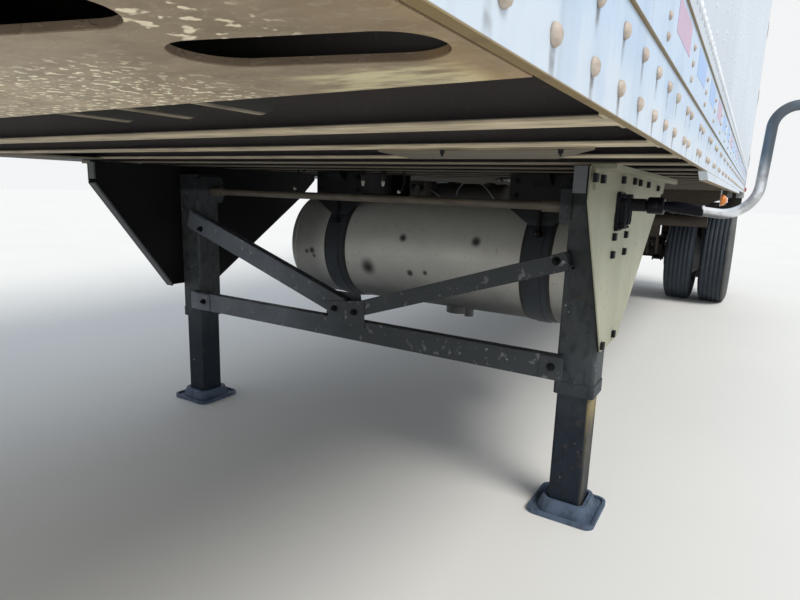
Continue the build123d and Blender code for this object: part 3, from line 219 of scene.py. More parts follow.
sky = bpy.data.worlds.new("sky")
sky.use_nodes = True
bpy.context.scene.world = sky
backdrop = sky.node_tree.nodes["Background"]
path = sky.node_tree.nodes.new("ShaderNodeLightPath")
seen = sky.node_tree.nodes.new("ShaderNodeMath")
seen.operation = "ADD"
sky.node_tree.links.new(path.outputs["Is Camera Ray"], seen.inputs[0])
sky.node_tree.links.new(path.outputs["Is Glossy Ray"], seen.inputs[1])
either = sky.node_tree.nodes.new("ShaderNodeMath")
either.operation = "ADD"
either.use_clamp = True
sky.node_tree.links.new(seen.outputs[0], either.inputs[0])
sky.node_tree.links.new(path.outputs["Is Transmission Ray"], either.inputs[1])
tone = sky.node_tree.nodes.new("ShaderNodeMix")
tone.data_type = "RGBA"
tone.inputs[6].default_value = (0.57, 0.63, 0.72, 1)
tone.inputs[7].default_value = (0.90, 0.91, 0.92, 1)
sky.node_tree.links.new(either.outputs[0], tone.inputs[0])
sky.node_tree.links.new(tone.outputs[2], backdrop.inputs[0])

floor_coat = Coat("studio_floor", Roughness=0.9)
floor_coat.feed(Base_Color=floor_coat.mix(floor_coat.noise(0.7), srgb(*FLOOR_COLOUR), srgb(230, 228, 222)))
edge = np.linspace(-60, 60, 13)
floor_grid = np.stack(np.meshgrid(edge, edge, [GROUND - 0.0005], indexing="ij"), axis=-1)[:, :, 0]
add("studio_ground", [skin(floor_grid)], floor_coat, body=None)


# Coupler plate. A bare steel bed plate, smeared brown and grey, with pale flecks in bands at its
# rear that are partly painted glints, pale blots and chalk near its left edge, and an ochre stain
# along both side edges.
def paint(coat, *names):
    """Gives CAD pieces a finish."""
    for name in names:
        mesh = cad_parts[name].data
        mesh.materials.clear()
        mesh.materials.append(coat.material)


coupler_coat = Coat("coupler_steel", "coupler_steel", Metallic=0.0)
smears = coupler_coat.noise(2.6, 4, (1.0, 0.45, 1))
grain = coupler_coat.noise(42, 3, (1.0, 0.5, 1))
flecks_and_glints = coupler_coat.ease(coupler_coat.noise(118, 2, (1.0, 0.7, 1)), 0.550, 0.615)
blobs = coupler_coat.ease(coupler_coat.noise(82, 2, (1.0, 0.8, 1)), 0.560, 0.640)
rear_part = (coupler_coat.ease(coupler_coat.x, -0.35, -0.39)
             * coupler_coat.ease(coupler_coat.y, 1.08, 0.96))
band = coupler_coat.ease(coupler_coat.noise(9, 3, (1.4, 0.5, 1)), 0.34, 0.52)
near_part = (coupler_coat.ease(abs(coupler_coat.y - 1.165) + smears * 0.02, 0.058, 0.034)
             * coupler_coat.ease(coupler_coat.x, -0.40, -0.375))
rubbed_part = (coupler_coat.ease(coupler_coat.x, -0.455, -0.50)
               * coupler_coat.ease(coupler_coat.y, 1.07, 1.13)
               * coupler_coat.ease(coupler_coat.y, 1.262, 1.235))
chalk = coupler_coat.ease(coupler_coat.noise(38, 4, (1.2, 0.35, 1)), 0.40, 0.62)
steel = coupler_coat.mix(smears, srgb(132, 114, 93), srgb(184, 166, 138))
steel = coupler_coat.mix(coupler_coat.ease(coupler_coat.y, 1.12, 0.80) * 0.55, steel, srgb(212, 193, 164))
steel = coupler_coat.mix(coupler_coat.ease(grain, 0.35, 0.7) * 0.40, steel, srgb(112, 96, 76))
steel = coupler_coat.mix(rubbed_part * chalk * 0.75, steel, srgb(232, 222, 178))
# Pale flecks of road dirt, near white so that they also stand in for painted glints.
steel = coupler_coat.mix(flecks_and_glints * (rear_part * band * 0.95 + 0.05), steel, srgb(255, 248, 216))
steel = coupler_coat.mix(blobs * near_part * 0.9, steel, srgb(255, 242, 210))
steel = coupler_coat.mix(coupler_coat.ease(coupler_coat.z, 0.0004, 0.0014) * 0.72, steel, srgb(92, 74, 58))
side_edge = (coupler_coat.ease(abs(coupler_coat.y) + smears * 0.03, 1.215, 1.280)
             * coupler_coat.ease(coupler_coat.noise(7, 3, (0.5, 2, 1)), 0.30, 0.60)
             * (coupler_coat.ease(coupler_coat.x, -0.30, -0.52) * 0.75 + 0.25))
steel = coupler_coat.mix(side_edge * 0.40, steel, srgb(196, 154, 92))
coupler_coat.feed(Base_Color=steel, Roughness=coupler_coat.ease(smears, 0.2, 0.9) * 0.3 + 0.45)
coupler_coat.bump(grain * 0.5 + flecks_and_glints * 0.6, 0.0006)
paint(coupler_coat, "coupler_plate")


# Kingpin. A turned and hardened pin, bright where the jaws close on it and greasy elsewhere.
pin_coat = Coat("pin_steel", "pin_steel", Metallic=1.0)
rings = pin_coat.noise(180, 2, (0.2, 0.2, 3))
pin_coat.feed(Base_Color=pin_coat.mix(pin_coat.ease(pin_coat.noise(24, 3), 0.4, 0.65),
                                      srgb(168, 164, 158), srgb(60, 52, 42)),
              Roughness=rings * 0.3 + 0.25)
paint(pin_coat, "kingpin")


# Cross members. I beams and channels rolled in steel and painted black; their lower flanges are
# pale tan, road dust with painted light on it, the webs above stay dark, and paint and dust darken
# towards the rear as painted shade.
def frame_black(name, dust_and_light=(118, 106, 88), pale_below=-9.0, dark=(62, 58, 58), light=(98, 91, 88)):
    """Black chassis paint under dust, with the dust thick on faces below a height and paler there as
    painted light; paint and dust darken towards the rear as painted shade.
    """
    coat = Coat(name, "chassis_black", Specular_IOR_Level=0.3)
    film = coat.noise(11, 4, (1, 0.4, 1))
    specks = coat.ease(coat.noise(90, 2), 0.64, 0.76)
    colour = coat.mix(film, srgb(*dark), srgb(*light))
    low = coat.ease(coat.z, pale_below + 0.002, pale_below)
    scraped = coat.ease(coat.noise(30, 4, (1, 0.3, 1)), 0.30, 0.72)
    # Pale dust on faces below the given height, partly painted light.
    dusted_lit_and_shaded = coat.mix(scraped, srgb(*dust_and_light), srgb(*[part * 0.78 for part in dust_and_light]))
    dusted_lit_and_shaded = coat.mix(coat.ease(coat.z, -0.003, -0.004) * 0.75, dusted_lit_and_shaded, srgb(92, 86, 75))
    # Painted shade: dust and paint darken towards the rear, deeper under the trailer.
    dusted_lit_and_shaded = coat.mix(coat.ease(coat.x, -1.15, -1.95) * 0.84, dusted_lit_and_shaded, srgb(76, 72, 64))
    colour = coat.mix(coat.ease(coat.x, -1.3, -2.6) * 0.5, colour, srgb(30, 29, 29))
    colour = coat.mix(low, colour, dusted_lit_and_shaded)
    colour = coat.mix(specks * 0.25, colour, srgb(132, 104, 80))
    coat.feed(Base_Color=colour, Roughness=film * 0.25 + 0.55)
    coat.bump(film + specks * 0.4, 0.0006)
    return coat


BEAM_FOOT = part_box("cross_members")[0][2]
beam_coat = frame_black("beam_black", (212, 196, 166), BEAM_FOOT + 0.002)
paint(beam_coat, "cross_members")
paint(frame_black("gusset_black", (150, 140, 120), 0.0015, (44, 44, 43), (74, 73, 69)), "coupler_gussets")
chassis_coat = frame_black("chassis_black", dark=(36, 34, 32), light=(66, 60, 54))
paint(chassis_coat, "leaf_springs", "axle", "air_brakes", "flap_hangers")
paint(frame_black("runner_brown", dark=(60, 53, 46), light=(108, 94, 78)), "subframe", "spring_hangers")


# Deck. Its underside is a grey-black moulded pan, dusty and stained along the beams.
deck_coat = Coat("deck_underside", "deck_underside", Roughness=0.85)
stain = deck_coat.noise(4, 4, (0.5, 1, 1))
deck = deck_coat.mix(stain, srgb(26, 24, 22), srgb(52, 47, 42))
ribs = deck_coat.ease(abs(deck_coat.y % 0.05 - 0.025), 0.004, 0.010)
above = deck_coat.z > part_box("floor")[1][2] - 0.001
deck = deck_coat.mix(above, deck, deck_coat.mix(stain, srgb(168, 168, 164), srgb(140, 138, 132)))
deck_coat.feed(Base_Color=deck)
deck_coat.bump(ribs * above, 0.003)
paint(deck_coat, "floor")


# Side rails and walls. Stepped aluminium extrusions under riveted sheets, both painted white, their
# blue a painted sky reflection, with domed lock bolts in two rows, columns of rivets above whitened
# as painted highlights and faded reflective blocks between them.
RAIL_LOW_Y = 1.2875
RAIL_HIGH_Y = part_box("side_rails")[1][1]
WALL_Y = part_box("side_wall_left")[1][1]
RAIL_STEP_Z = 0.1155
BOLT_FIRST, BOLT_PITCH, BOLT_SINGLES = -0.553, 0.1143, 7
BEAM_FIRST, BEAM_PITCH, BEAM_COUNT = -0.826, 0.305, 24
BOLT_ROWS = (0.028, 0.084)
POST_FIRST, POST_PITCH, POST_COUNT = -1.033, 0.328, 22
SIDES = (1, -1)


def circle(count, radius, start=0.0):
    """A ring of points."""
    angle = start + np.arange(count) * 2 * np.pi / count
    return radius * np.column_stack([np.cos(angle), np.sin(angle)])


def raised(outline, steps):
    """An outline carried up through steps of (scale, height); a scale of 0 closes it."""
    ring = np.vstack([outline, outline[:1]])
    return skin(np.stack([np.column_stack([ring * scale, np.full(len(ring), height)])
                          for scale, height in steps]))


def copies(shape, places, facing=(0, 0, 1), up=(1, 0, 0)):
    """A shape made on the XY plane, turned to face a way and set at each place."""
    points, faces = shape
    side = np.cross(up, facing)
    turn = np.stack([side, np.cross(facing, side), facing])
    places = np.asarray(places, dtype=float).reshape(-1, 1, 3)
    spread = (points @ turn)[None] + places
    offsets = np.arange(len(places))[:, None, None] * len(points)
    return spread.reshape(-1, 3), (faces[None] + offsets).reshape(-1, 4)


def on_sides(shape, places, up=(0, 0, 1)):
    """A shape facing outwards at places on the left side, and again on the right."""
    places = np.asarray(places, dtype=float).reshape(-1, 3)
    return [copies(shape, places * (1, side, 1), (0, side, 0), up) for side in SIDES]


def dome(radius, height, count=10, rim=0.25):
    """A rivet head: a short straight rim and a round crown."""
    turn = np.linspace(0, np.pi / 2, 4)
    crown = [(np.cos(a), height * (rim + (1 - rim) * np.sin(a))) for a in turn[:-1]]
    return raised(circle(count, radius), [(0, 0), (1, 0)] + crown + [(0, height)])


def white_sheet(name, slot="white_aluminium", foot=0.0, streak=1.0, tint=(208, 217, 226),
                ledges=(), stain=None, sky_blue=0.0):
    """White paint on sheet aluminium, the blue in its tint partly a painted sky reflection: chalky,
    streaked down, grey with road film low down, and brown under its ledges; stain gives a mask of more
    dirt from the coat, and the blue share is a painted sky reflection shown above the rail's foot."""
    coat = Coat(name, slot, Specular_IOR_Level=0.4)
    chalky = coat.noise(1.7, 4)
    runs = coat.ease(coat.noise(26, 3, (1, 1, 0.05)), 0.52, 0.75)
    fine = coat.noise(120, 2, (1, 1, 0.25))
    colour = coat.mix(chalky, srgb(*tint), srgb(*[part * 0.95 for part in tint]))
    # Painted sky reflection: blue above the rail's foot and in blotches, in the share given.
    colour = coat.mix(coat.ease(coat.z, 0.030, 0.085) * sky_blue, colour, srgb(176, 200, 226))
    sky_blotches = coat.ease(coat.noise(11, 5, (1, 1, 0.5)), 0.48, 0.66)
    colour = coat.mix(sky_blotches * sky_blue * 0.65, colour, srgb(160, 184, 212))
    colour = coat.mix(runs * 0.24 * streak, colour, srgb(140, 146, 150))
    film = coat.ease(coat.z + coat.noise(3, 4, (1, 1, 0.4)) * 0.5, foot + 0.75, foot + 0.1)
    colour = coat.mix(film * 0.22, colour, srgb(132, 134, 130))
    colour = coat.mix(coat.ease(fine, 0.60, 0.80) * 0.15, colour, srgb(120, 118, 112))
    for height in ledges:
        under = coat.ease(abs(coat.z - height), 0.0018, 0.0008)
        colour = coat.mix(under, colour, srgb(138, 118, 80))
    if stain:
        colour = coat.mix(stain(coat), colour, srgb(74, 66, 56))
    coat.feed(Base_Color=colour, Roughness=chalky * 0.2 + 0.35)
    coat.bump(fine * 0.3 + chalky * 0.6, 0.0008)
    return coat


def bolt_runs(coat):
    """Dirt that has run down from each lock bolt: single bolts ahead, pairs at the beams behind."""
    def under(first, pitch):
        return coat.ease(abs((coat.x - first + pitch / 2) % pitch - pitch / 2), 0.010, 0.002)

    ahead = under(BOLT_FIRST, BOLT_PITCH) * (coat.x > -1.33)
    behind = ((under(BEAM_FIRST - 0.038, BEAM_PITCH) + under(BEAM_FIRST + 0.038, BEAM_PITCH))
              * (coat.x < -1.33))
    drops = [coat.ease(coat.z, row - 0.040, row - 0.012) * coat.ease(coat.z, row - 0.001, row - 0.010)
             for row in BOLT_ROWS]
    return (ahead + behind) * (drops[0] + drops[1]) * coat.ease(coat.noise(31, 2), 0.34, 0.6) * 0.75


# The rail's bluer tint and its blue share are a painted sky reflection.
rail_coat = white_sheet("rail_white", foot=-0.4, tint=(210, 221, 231), ledges=(0.0, RAIL_STEP_Z),
                        stain=bolt_runs, sky_blue=0.55)
wall_coat = white_sheet("wall_white", foot=0.15, streak=0.65, ledges=(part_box("side_rails")[1][2],))
paint(rail_coat, "side_rails")
paint(white_sheet("lower_rail_white", foot=-0.4, ledges=(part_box("lower_rails")[0][2],)), "lower_rails")
paint(wall_coat, "side_wall_left", "side_wall_right")

bolt_coat = Coat("lock_bolt", "galvanised_steel", Metallic=0.0)
bolt_tone = bolt_coat.noise(110, 3)
bolt_coat.feed(Base_Color=bolt_coat.mix(bolt_tone, srgb(230, 214, 198), srgb(126, 108, 94)),
               Roughness=bolt_tone * 0.3 + 0.4)
single = BOLT_FIRST - BOLT_PITCH * np.arange(BOLT_SINGLES)
ahead = np.arange(0.80, BOLT_FIRST + 0.02, -BOLT_PITCH)
beams = BEAM_FIRST - BEAM_PITCH * np.arange(2, BEAM_COUNT)
pairs = np.concatenate([beams - 0.038, beams + 0.038])
columns = np.concatenate([ahead, single, pairs])
bolt_places = [(x, RAIL_LOW_Y, z) for z in BOLT_ROWS for x in columns]
add("lock_bolts", on_sides(dome(0.0086, 0.0064, 14), bolt_places), bolt_coat, smooth=True)

# Rivet heads in the walls' white paint, made whiter than the sheets as a painted highlight.
rivet_highlight_coat = Coat("rivet_paint_highlight", "white_aluminium")
rivet_tone = rivet_highlight_coat.noise(40, 2)
rivet_highlight_coat.feed(Base_Color=rivet_highlight_coat.mix(rivet_tone, srgb(242, 245, 248), srgb(208, 211, 213)),
                Roughness=rivet_tone * 0.2 + 0.4)
posts = POST_FIRST - POST_PITCH * np.arange(-5, POST_COUNT)
band_places = [(x, RAIL_HIGH_Y, z) for x in posts for z in (0.135, 0.162, 0.190)]
add("band_rivets", on_sides(dome(0.0062, 0.0040), band_places), bolt_coat, smooth=True)
row_x = np.arange(0.796, -8.05, -0.0508)
row_places = np.column_stack([row_x, np.full(len(row_x), WALL_Y), np.full(len(row_x), 0.2535)])
add("foot_rivets", on_sides(dome(0.0098, 0.0062), row_places), rivet_highlight_coat, smooth=True)
rise = np.arange(0.30, 2.78, 0.075)
grid_x = np.concatenate([np.repeat(posts - 0.04, len(rise)), np.repeat(posts + 0.04, len(rise))])
grid_z = np.concatenate([np.tile(rise, len(posts)), np.tile(rise + 0.0375, len(posts))])
post_places = np.column_stack([grid_x, np.full(len(grid_x), WALL_Y), grid_z])
add("post_rivets", on_sides(dome(0.0048, 0.0026, 6), post_places), rivet_highlight_coat, smooth=True)

TAPE_FIRST, TAPE_PITCH, TAPE_LONG = -1.208, 0.345, 0.184
TAPE_COLOURS = ((196, 164, 192), (150, 188, 238))


def tape_finish(name, colour):
    """Faded reflective sheet with its fine honeycomb cells and grime."""
    coat = Coat(name, "white_aluminium", Roughness=0.35)
    cell = coat.ease(coat.cells(260), 0.2, 0.6)
    worn = coat.noise(14, 4)
    shade = coat.mix(cell * 0.25, srgb(*colour), srgb(*[part * 0.75 for part in colour]))
    coat.feed(Base_Color=coat.mix(coat.ease(worn, 0.5, 0.8) * 0.4, shade, srgb(150, 146, 138)))
    return coat


tape_outline = np.array([(-0.5, -0.5), (0.5, -0.5), (0.5, 0.5), (-0.5, 0.5)]) * (TAPE_LONG, 0.050)
tape = raised(tape_outline, [(0, 0), (1, 0), (1, 0.0005), (0, 0.0005)])
tape_x = TAPE_FIRST - TAPE_PITCH * np.arange(20)
for kind, name in enumerate(("tape_red", "tape_white")):
    chosen = tape_x[np.arange(20) % 3 == 0] if kind == 0 else tape_x[np.arange(20) % 3 > 0]
    places = [(x, RAIL_HIGH_Y, 0.186) for x in chosen]
    add(name, on_sides(tape, places), tape_finish(name, TAPE_COLOURS[kind]))


# Top rails and roof. Mill finish extrusions with a row of rivets, and a thin roof sheet, weathered
# to dull grey.
def weathered(name, slot, light=(196, 198, 198), dark=(150, 152, 152)):
    """Dull aluminium: cloudy oxide, fine scratches along the rolling."""
    coat = Coat(name, slot, Metallic=0.75)
    cloud = coat.noise(5, 5)
    brushed = coat.noise(160, 2, (0.04, 1, 1))
    colour = coat.mix(cloud, srgb(*light), srgb(*dark))
    coat.feed(Base_Color=colour, Roughness=cloud * 0.25 + brushed * 0.12 + 0.28)
    coat.bump(brushed * 0.4 + cloud, 0.0005)
    return coat


top_coat = weathered("top_rail_metal", "bare_aluminium")
roof_coat = weathered("roof_metal", "roof_aluminium", (204, 206, 206), (170, 172, 172))
paint(top_coat, "top_rails")
paint(roof_coat, "roof")
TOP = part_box("top_rails")[1][2]
upper_x = np.arange(0.78, -8.05, -0.102)
upper_places = [(x, WALL_Y, TOP - 0.082) for x in upper_x]
add("top_rail_rivets", on_sides(dome(0.0058, 0.0036, 8), upper_places), rivet_highlight_coat, smooth=True)


# Nose wall, doors and rear frame. The nose and doors are white like the walls, riveted round
# their edges; the frame is welded steel in grey paint, chipped to rust along its sill.
nose_coat = white_sheet("nose_white", foot=0.2, streak=0.7)
door_coat = white_sheet("door_white", foot=0.2, streak=0.8)
paint(nose_coat, "nose_wall")
paint(door_coat, "door_left", "door_right")
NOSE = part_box("nose_wall")[1][0]

nose_rise = np.arange(0.12, TOP - 0.10, 0.102)
nose_across = np.arange(-1.10, 1.11, 0.10)
nose_places = [(NOSE, side * 1.165, z) for side in SIDES for z in nose_rise]
nose_places += [(NOSE, y, z) for y in nose_across for z in (0.09, 0.56)]
add("nose_rivets", [copies(dome(0.0055, 0.0032, 8), nose_places, (1, 0, 0), (0, 0, 1))],
    rivet_highlight_coat, smooth=True)

STRAP_HALF = 0.075
seal_coat = Coat("seal_rubber", "flap_rubber", Roughness=0.65)
seal_wear = seal_coat.noise(24, 3)
seal_coat.feed(Base_Color=seal_coat.mix(seal_wear, srgb(24, 24, 25), srgb(58, 57, 54)))


def ring_round(low, high, out, deep):
    """A flat ring round a rectangle from low to high in the XY plane, out wide and deep high:
    each corner is carried out along both axes in turn."""
    inner = np.array([low, (high[0], low[1]), high, (low[0], high[1]), low], dtype=float)
    corners = np.array([(-1, -1), (1, -1), (1, 1), (-1, 1), (-1, -1)]) * out
    loops = [(inner, 0), (inner + corners, 0), (inner + corners, deep), (inner, deep), (inner, 0)]
    return skin(np.stack([np.column_stack([loop, np.full(5, height)]) for loop, height in loops]))


for side, name in zip(SIDES, ("left", "right")):
    low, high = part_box(f"door_{name}")
    face = low[0]
    spans = sorted((low[1], high[1]))
    seal = ring_round((-spans[1], low[2]), (-spans[0], high[2]), 0.003, 0.010)
    add(f"door_seal_{name}", [copies(seal, [(face + 0.014, 0, 0)], (-1, 0, 0), (0, 0, 1))],
        seal_coat, f"door_{name}")
    inset = 0.045
    rows = np.arange(low[2] + 0.09, high[2] - 0.06, 0.102)
    straps = np.linspace(low[2] + 0.212, high[2] - 0.212, 4)
    clear = rows[np.abs(rows[:, None] - straps[None]).min(axis=1) > STRAP_HALF]
    hinge_y = side * (max(abs(low[1]), abs(high[1])) - inset)
    middle_y = side * (min(abs(low[1]), abs(high[1])) + inset)
    places = [(face, hinge_y, z) for z in clear] + [(face, middle_y, z) for z in rows]
    add(f"door_rivets_{name}", [copies(dome(0.0055, 0.0030, 8), places, (-1, 0, 0), (0, 0, 1))],
        rivet_highlight_coat, f"door_{name}", smooth=True)

frame_coat = Coat("frame_paint", "frame_steel", Specular_IOR_Level=0.4)
patches = frame_coat.noise(6, 5)
chips = frame_coat.ease(frame_coat.noise(44, 5) + frame_coat.ease(frame_coat.z, 0.3, -0.2) * 0.03, 0.66, 0.72)
grime = frame_coat.ease(frame_coat.noise(5, 5, (1, 1, 0.25)), 0.45, 0.75)
grey = frame_coat.mix(patches, srgb(196, 198, 198), srgb(170, 170, 166))
grey = frame_coat.mix(grime * 0.35, grey, srgb(132, 126, 116))
frame_coat.feed(Base_Color=frame_coat.mix(chips * 0.85, grey, srgb(112, 78, 54)),
                Roughness=chips * 0.3 + 0.4)
frame_coat.bump(1 - chips, 0.0006)
paint(frame_coat, "rear_frame", "door_fittings")

guard_coat = Coat("guard_zinc", "frame_steel", Metallic=0.4, Specular_IOR_Level=0.3)
guard_cloud = guard_coat.noise(7, 5)
guard_rust = guard_coat.ease(guard_coat.noise(13, 6), 0.52, 0.74)
guard_grey = guard_coat.mix(guard_cloud, srgb(150, 151, 150), srgb(112, 112, 110))
guard_coat.feed(Base_Color=guard_coat.mix(guard_rust * 0.7, guard_grey, srgb(104, 74, 54)),
                Roughness=guard_rust * 0.3 + 0.45)
guard_coat.bump(guard_cloud + guard_rust * 0.5, 0.0006)
paint(guard_coat, "rear_guard")


def zinc(name):
    """Dull galvanising with its spangle."""
    coat = Coat(name, "galvanised_steel", Metallic=0.85)
    spangle = coat.cells(70)
    colour = coat.mix(spangle, srgb(170, 172, 174), srgb(132, 134, 136))
    coat.feed(Base_Color=coat.mix(coat.ease(coat.noise(9, 4), 0.5, 0.75) * 0.5, colour, srgb(116, 104, 92)),
              Roughness=spangle * 0.2 + 0.38)
    return coat


zinc_coat = zinc("galvanised")
paint(zinc_coat, "door_hardware_left", "door_hardware_right", "lamp_brackets", "front_connectors")


# Nose unit. A moulded white housing with a black condenser grille over two fans, latched doors
# in its flanks; hidden in the photograph.
unit_coat = white_sheet("unit_white", "unit_white", 0.6, 0.5, (216, 222, 226))
paint(unit_coat, "unit_housing")
grille_coat = Coat("grille_black", "grille_black", Roughness=0.6)
grille_dust = grille_coat.noise(20, 3)
grille_coat.feed(Base_Color=grille_coat.mix(grille_dust, srgb(22, 22, 23), srgb(48, 46, 44)))
paint(grille_coat, "unit_grille")

UNIT_LOW, UNIT_HIGH = (np.array(end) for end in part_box("unit_housing"))
GRILLE_LOW, GRILLE_HIGH = (np.array(end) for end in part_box("unit_grille"))
FAN_RADIUS = 0.29
FAN_BLADES = 7


def fan():
    """Blades about Z: radius r and angle a, each blade pitched so its height falls 14 mm across
    its width, z = 7 mm * (1 - 2 t), with a domed hub and a round shroud."""
    shapes = [dome(0.06, 0.022, 16)]
    r = np.linspace(0.045, FAN_RADIUS - 0.012, 5)[:, None]
    t = np.linspace(0, 1, 5)[None]
    for blade in range(FAN_BLADES):
        a = 2 * np.pi * blade / FAN_BLADES + (t - 0.5) * (0.62 - r * 0.6) + r * 0.8
        height = 0.012 + 0.007 * (1 - 2 * t) * np.ones_like(r)
        sheet = np.stack([r * np.cos(a), r * np.sin(a), height], axis=-1)
        under = sheet - (0, 0, 0.0015)
        top_and_foot = np.concatenate([sheet, under[::-1], sheet[:1]], axis=0)
        shapes.append(skin(top_and_foot))
    shapes.append(raised(circle(40, 1.0), [(FAN_RADIUS + 0.006, 0), (FAN_RADIUS + 0.006, 0.030),
                                           (FAN_RADIUS, 0.030), (FAN_RADIUS, 0), (FAN_RADIUS + 0.006, 0)]))
    return shapes


fan_x = UNIT_HIGH[0] - 0.088
fan_z = (GRILLE_LOW[2] + GRILLE_HIGH[2]) / 2
fan_places = [(fan_x, y, fan_z) for y in (-0.38, 0.38)]
add("unit_fans", [copies(shape, fan_places, (1, 0, 0), (0, 0, 1)) for shape in fan()],
    weathered("fan_metal", "bare_aluminium", (120, 122, 124), (84, 84, 84)))

flank = UNIT_HIGH[1]
flank_x = (NOSE + 0.03, NOSE + 0.28)
seam = ring_round((flank_x[0], UNIT_LOW[2] + 0.10), (flank_x[1], UNIT_HIGH[2] - 0.12), 0.007, 0.0025)
points, faces = seam
seams = [(points @ np.array([(1, 0, 0), (0, 0, 1), (0, side, 0)]) + (0, side * flank, 0),
          faces if side < 0 else faces[:, ::-1]) for side in SIDES]
add("unit_seams", seams, seal_coat)
latch = raised(circle(12, 0.022) * (0.55, 1.0), [(0, 0), (1, 0), (1, 0.008), (0.8, 0.013), (0, 0.013)])
latch_places = [(flank_x[1] - 0.022, flank, z)
                for z in np.linspace(UNIT_LOW[2] + 0.30, UNIT_HIGH[2] - 0.3, 3)]
add("unit_latches", on_sides(latch, latch_places), grille_coat)


# Landing gear. Square tubes, brace and gear case in worn dark paint over steel, welded and bolted up,
# with painted shade low on the legs, painted light on the brace's right end and a painted highlight
# and shade on the crank; the mounting plates are cream outside and black inside, the feet blue-grey
# with wear.
LEG_X = -2.086
LEG_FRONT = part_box("leg_tubes")[1][0]


def leg_finish(name, dark=(54, 58, 60), light=(88, 93, 95), low_dark=(22, 28, 36),
               low_light=(38, 48, 60), worn=None):
    """Old dark paint over steel: cloudy, scuffed pale at random spots, lighter high up and darker
    and bluer towards the ground as painted light and shade; worn gives a mask of rubbed, yellowed
    metal from the coat."""
    coat = Coat(name, "leg_paint", Specular_IOR_Level=0.2)
    cloud = coat.noise(7, 5)
    rust = coat.ease(coat.noise(24, 5), 0.58, 0.72)
    chips = coat.ease(coat.noise(75, 2), 0.72, 0.77)
    spots = coat.ease(coat.cells(22), 0.10, 0.055) * coat.ease(coat.noise(9, 2), 0.50, 0.60)
    # Painted light and shade: lighter high up, darker and bluer towards the ground.
    low = coat.ease(coat.z, -0.55, -0.92)
    colour = coat.mix(cloud, coat.mix(low, srgb(*dark), srgb(*low_dark)),
                      coat.mix(low, srgb(*light), srgb(*low_light)))
    mottle = coat.ease(coat.noise(36, 6, (1, 1, 0.6)), 0.44, 0.66)
    colour = coat.mix(mottle * 0.38, colour, srgb(22, 23, 25))
    colour = coat.mix(rust * 0.30, colour, srgb(92, 74, 60))
    colour = coat.mix(coat.ease(coat.z, -0.125, -0.105) * 0.7, colour, srgb(24, 25, 29))
    colour = coat.mix(chips * 0.5, colour, srgb(146, 148, 146))
    colour = coat.mix(spots * 0.8, colour, srgb(176, 182, 186))
    if worn:
        colour = coat.mix(worn(coat), colour, srgb(150, 132, 88))
    coat.feed(Base_Color=colour, Roughness=cloud * 0.25 + 0.45)
    coat.bump(cloud + rust * 0.5, 0.0007)
    return coat


def rubbed_corner(coat):
    """The inner tube's outer front corner, rubbed where it slides."""
    return (coat.ease(coat.y, 1.021, 1.030) * (coat.ease(coat.z, -0.92, -0.78) * 0.75 + 0.15)
            * coat.ease(coat.noise(14, 3, (1, 1, 0.2)), 0.38, 0.60))


leg_coat = leg_finish("leg_paint")
paint(leg_coat, "leg_tubes")
paint(leg_finish("inner_leg_paint", worn=rubbed_corner), "leg_inner_tubes")
paint(leg_finish("foot_paint", low_dark=(58, 70, 86), low_light=(106, 121, 142)), "feet")

brace_coat = Coat("brace_paint", "leg_paint", Specular_IOR_Level=0.35)
cloud = brace_coat.noise(8, 5)
# Painted light: the brace is paler towards its right end.
lit_side = brace_coat.ease(brace_coat.y, 0.10, -0.45)
brace = brace_coat.mix(lit_side, srgb(62, 67, 70), srgb(112, 118, 126))
brace = brace_coat.mix(cloud * 0.6, brace, srgb(44, 47, 50))
brace = brace_coat.mix(brace_coat.ease(brace_coat.noise(38, 4), 0.60, 0.70) * 0.5, brace, srgb(140, 142, 142))
spots = brace_coat.ease(brace_coat.cells(17), 0.11, 0.05) * brace_coat.ease(brace_coat.noise(6, 2), 0.5, 0.6)
brace = brace_coat.mix(spots * 0.8, brace, srgb(176, 182, 186))
brace_coat.feed(Base_Color=brace, Roughness=cloud * 0.25 + 0.45)
brace_coat.bump(cloud, 0.0007)
paint(brace_coat, "leg_brace")

wing_coat = Coat("wing_cream", "wing_cream", Specular_IOR_Level=0.2)
PLATE_OUT = 1.0484
ANGLE_OUT = PLATE_OUT + 0.008
cloud = wing_coat.noise(5, 4, (1, 1, 0.5))
drips = wing_coat.ease(wing_coat.noise(38, 3, (1, 1, 0.06)), 0.52, 0.72)
scuffs = wing_coat.ease(wing_coat.noise(19, 4, (0.6, 1, 1.6), warp=1.2), 0.60, 0.68)
cream = wing_coat.mix(cloud, srgb(180, 179, 156), srgb(142, 141, 122))
cream = wing_coat.mix(drips * 0.14, cream, srgb(112, 106, 88))
cream = wing_coat.mix(scuffs * 0.30, cream, srgb(120, 118, 106))
cream = wing_coat.mix(wing_coat.ease(wing_coat.z, -0.16, -0.02) * 0.55, cream, srgb(104, 98, 82))
inside = wing_coat.mix(cloud, srgb(8, 8, 12), srgb(24, 24, 28))
folded = wing_coat.ease(abs(wing_coat.y), 1.0402, 1.0390)
inside = wing_coat.mix(folded, inside, srgb(98, 100, 102))
outer = wing_coat.ease(abs(wing_coat.y), PLATE_OUT - 0.005, PLATE_OUT - 0.003)
wing_coat.feed(Base_Color=wing_coat.mix(outer, inside, cream), Roughness=cloud * 0.2 + 0.5)
wing_coat.bump(cloud, 0.0008)
paint(wing_coat, "wing_plates")

shaft_coat = Coat("shaft_steel", "shaft_steel", Metallic=0.3)
flakes = shaft_coat.noise(40, 4, (1, 0.3, 1))
shaft_coat.feed(Base_Color=shaft_coat.mix(flakes, srgb(118, 110, 98), srgb(66, 57, 50)),
                Roughness=flakes * 0.3 + 0.45)
paint(shaft_coat, "cross_shaft")

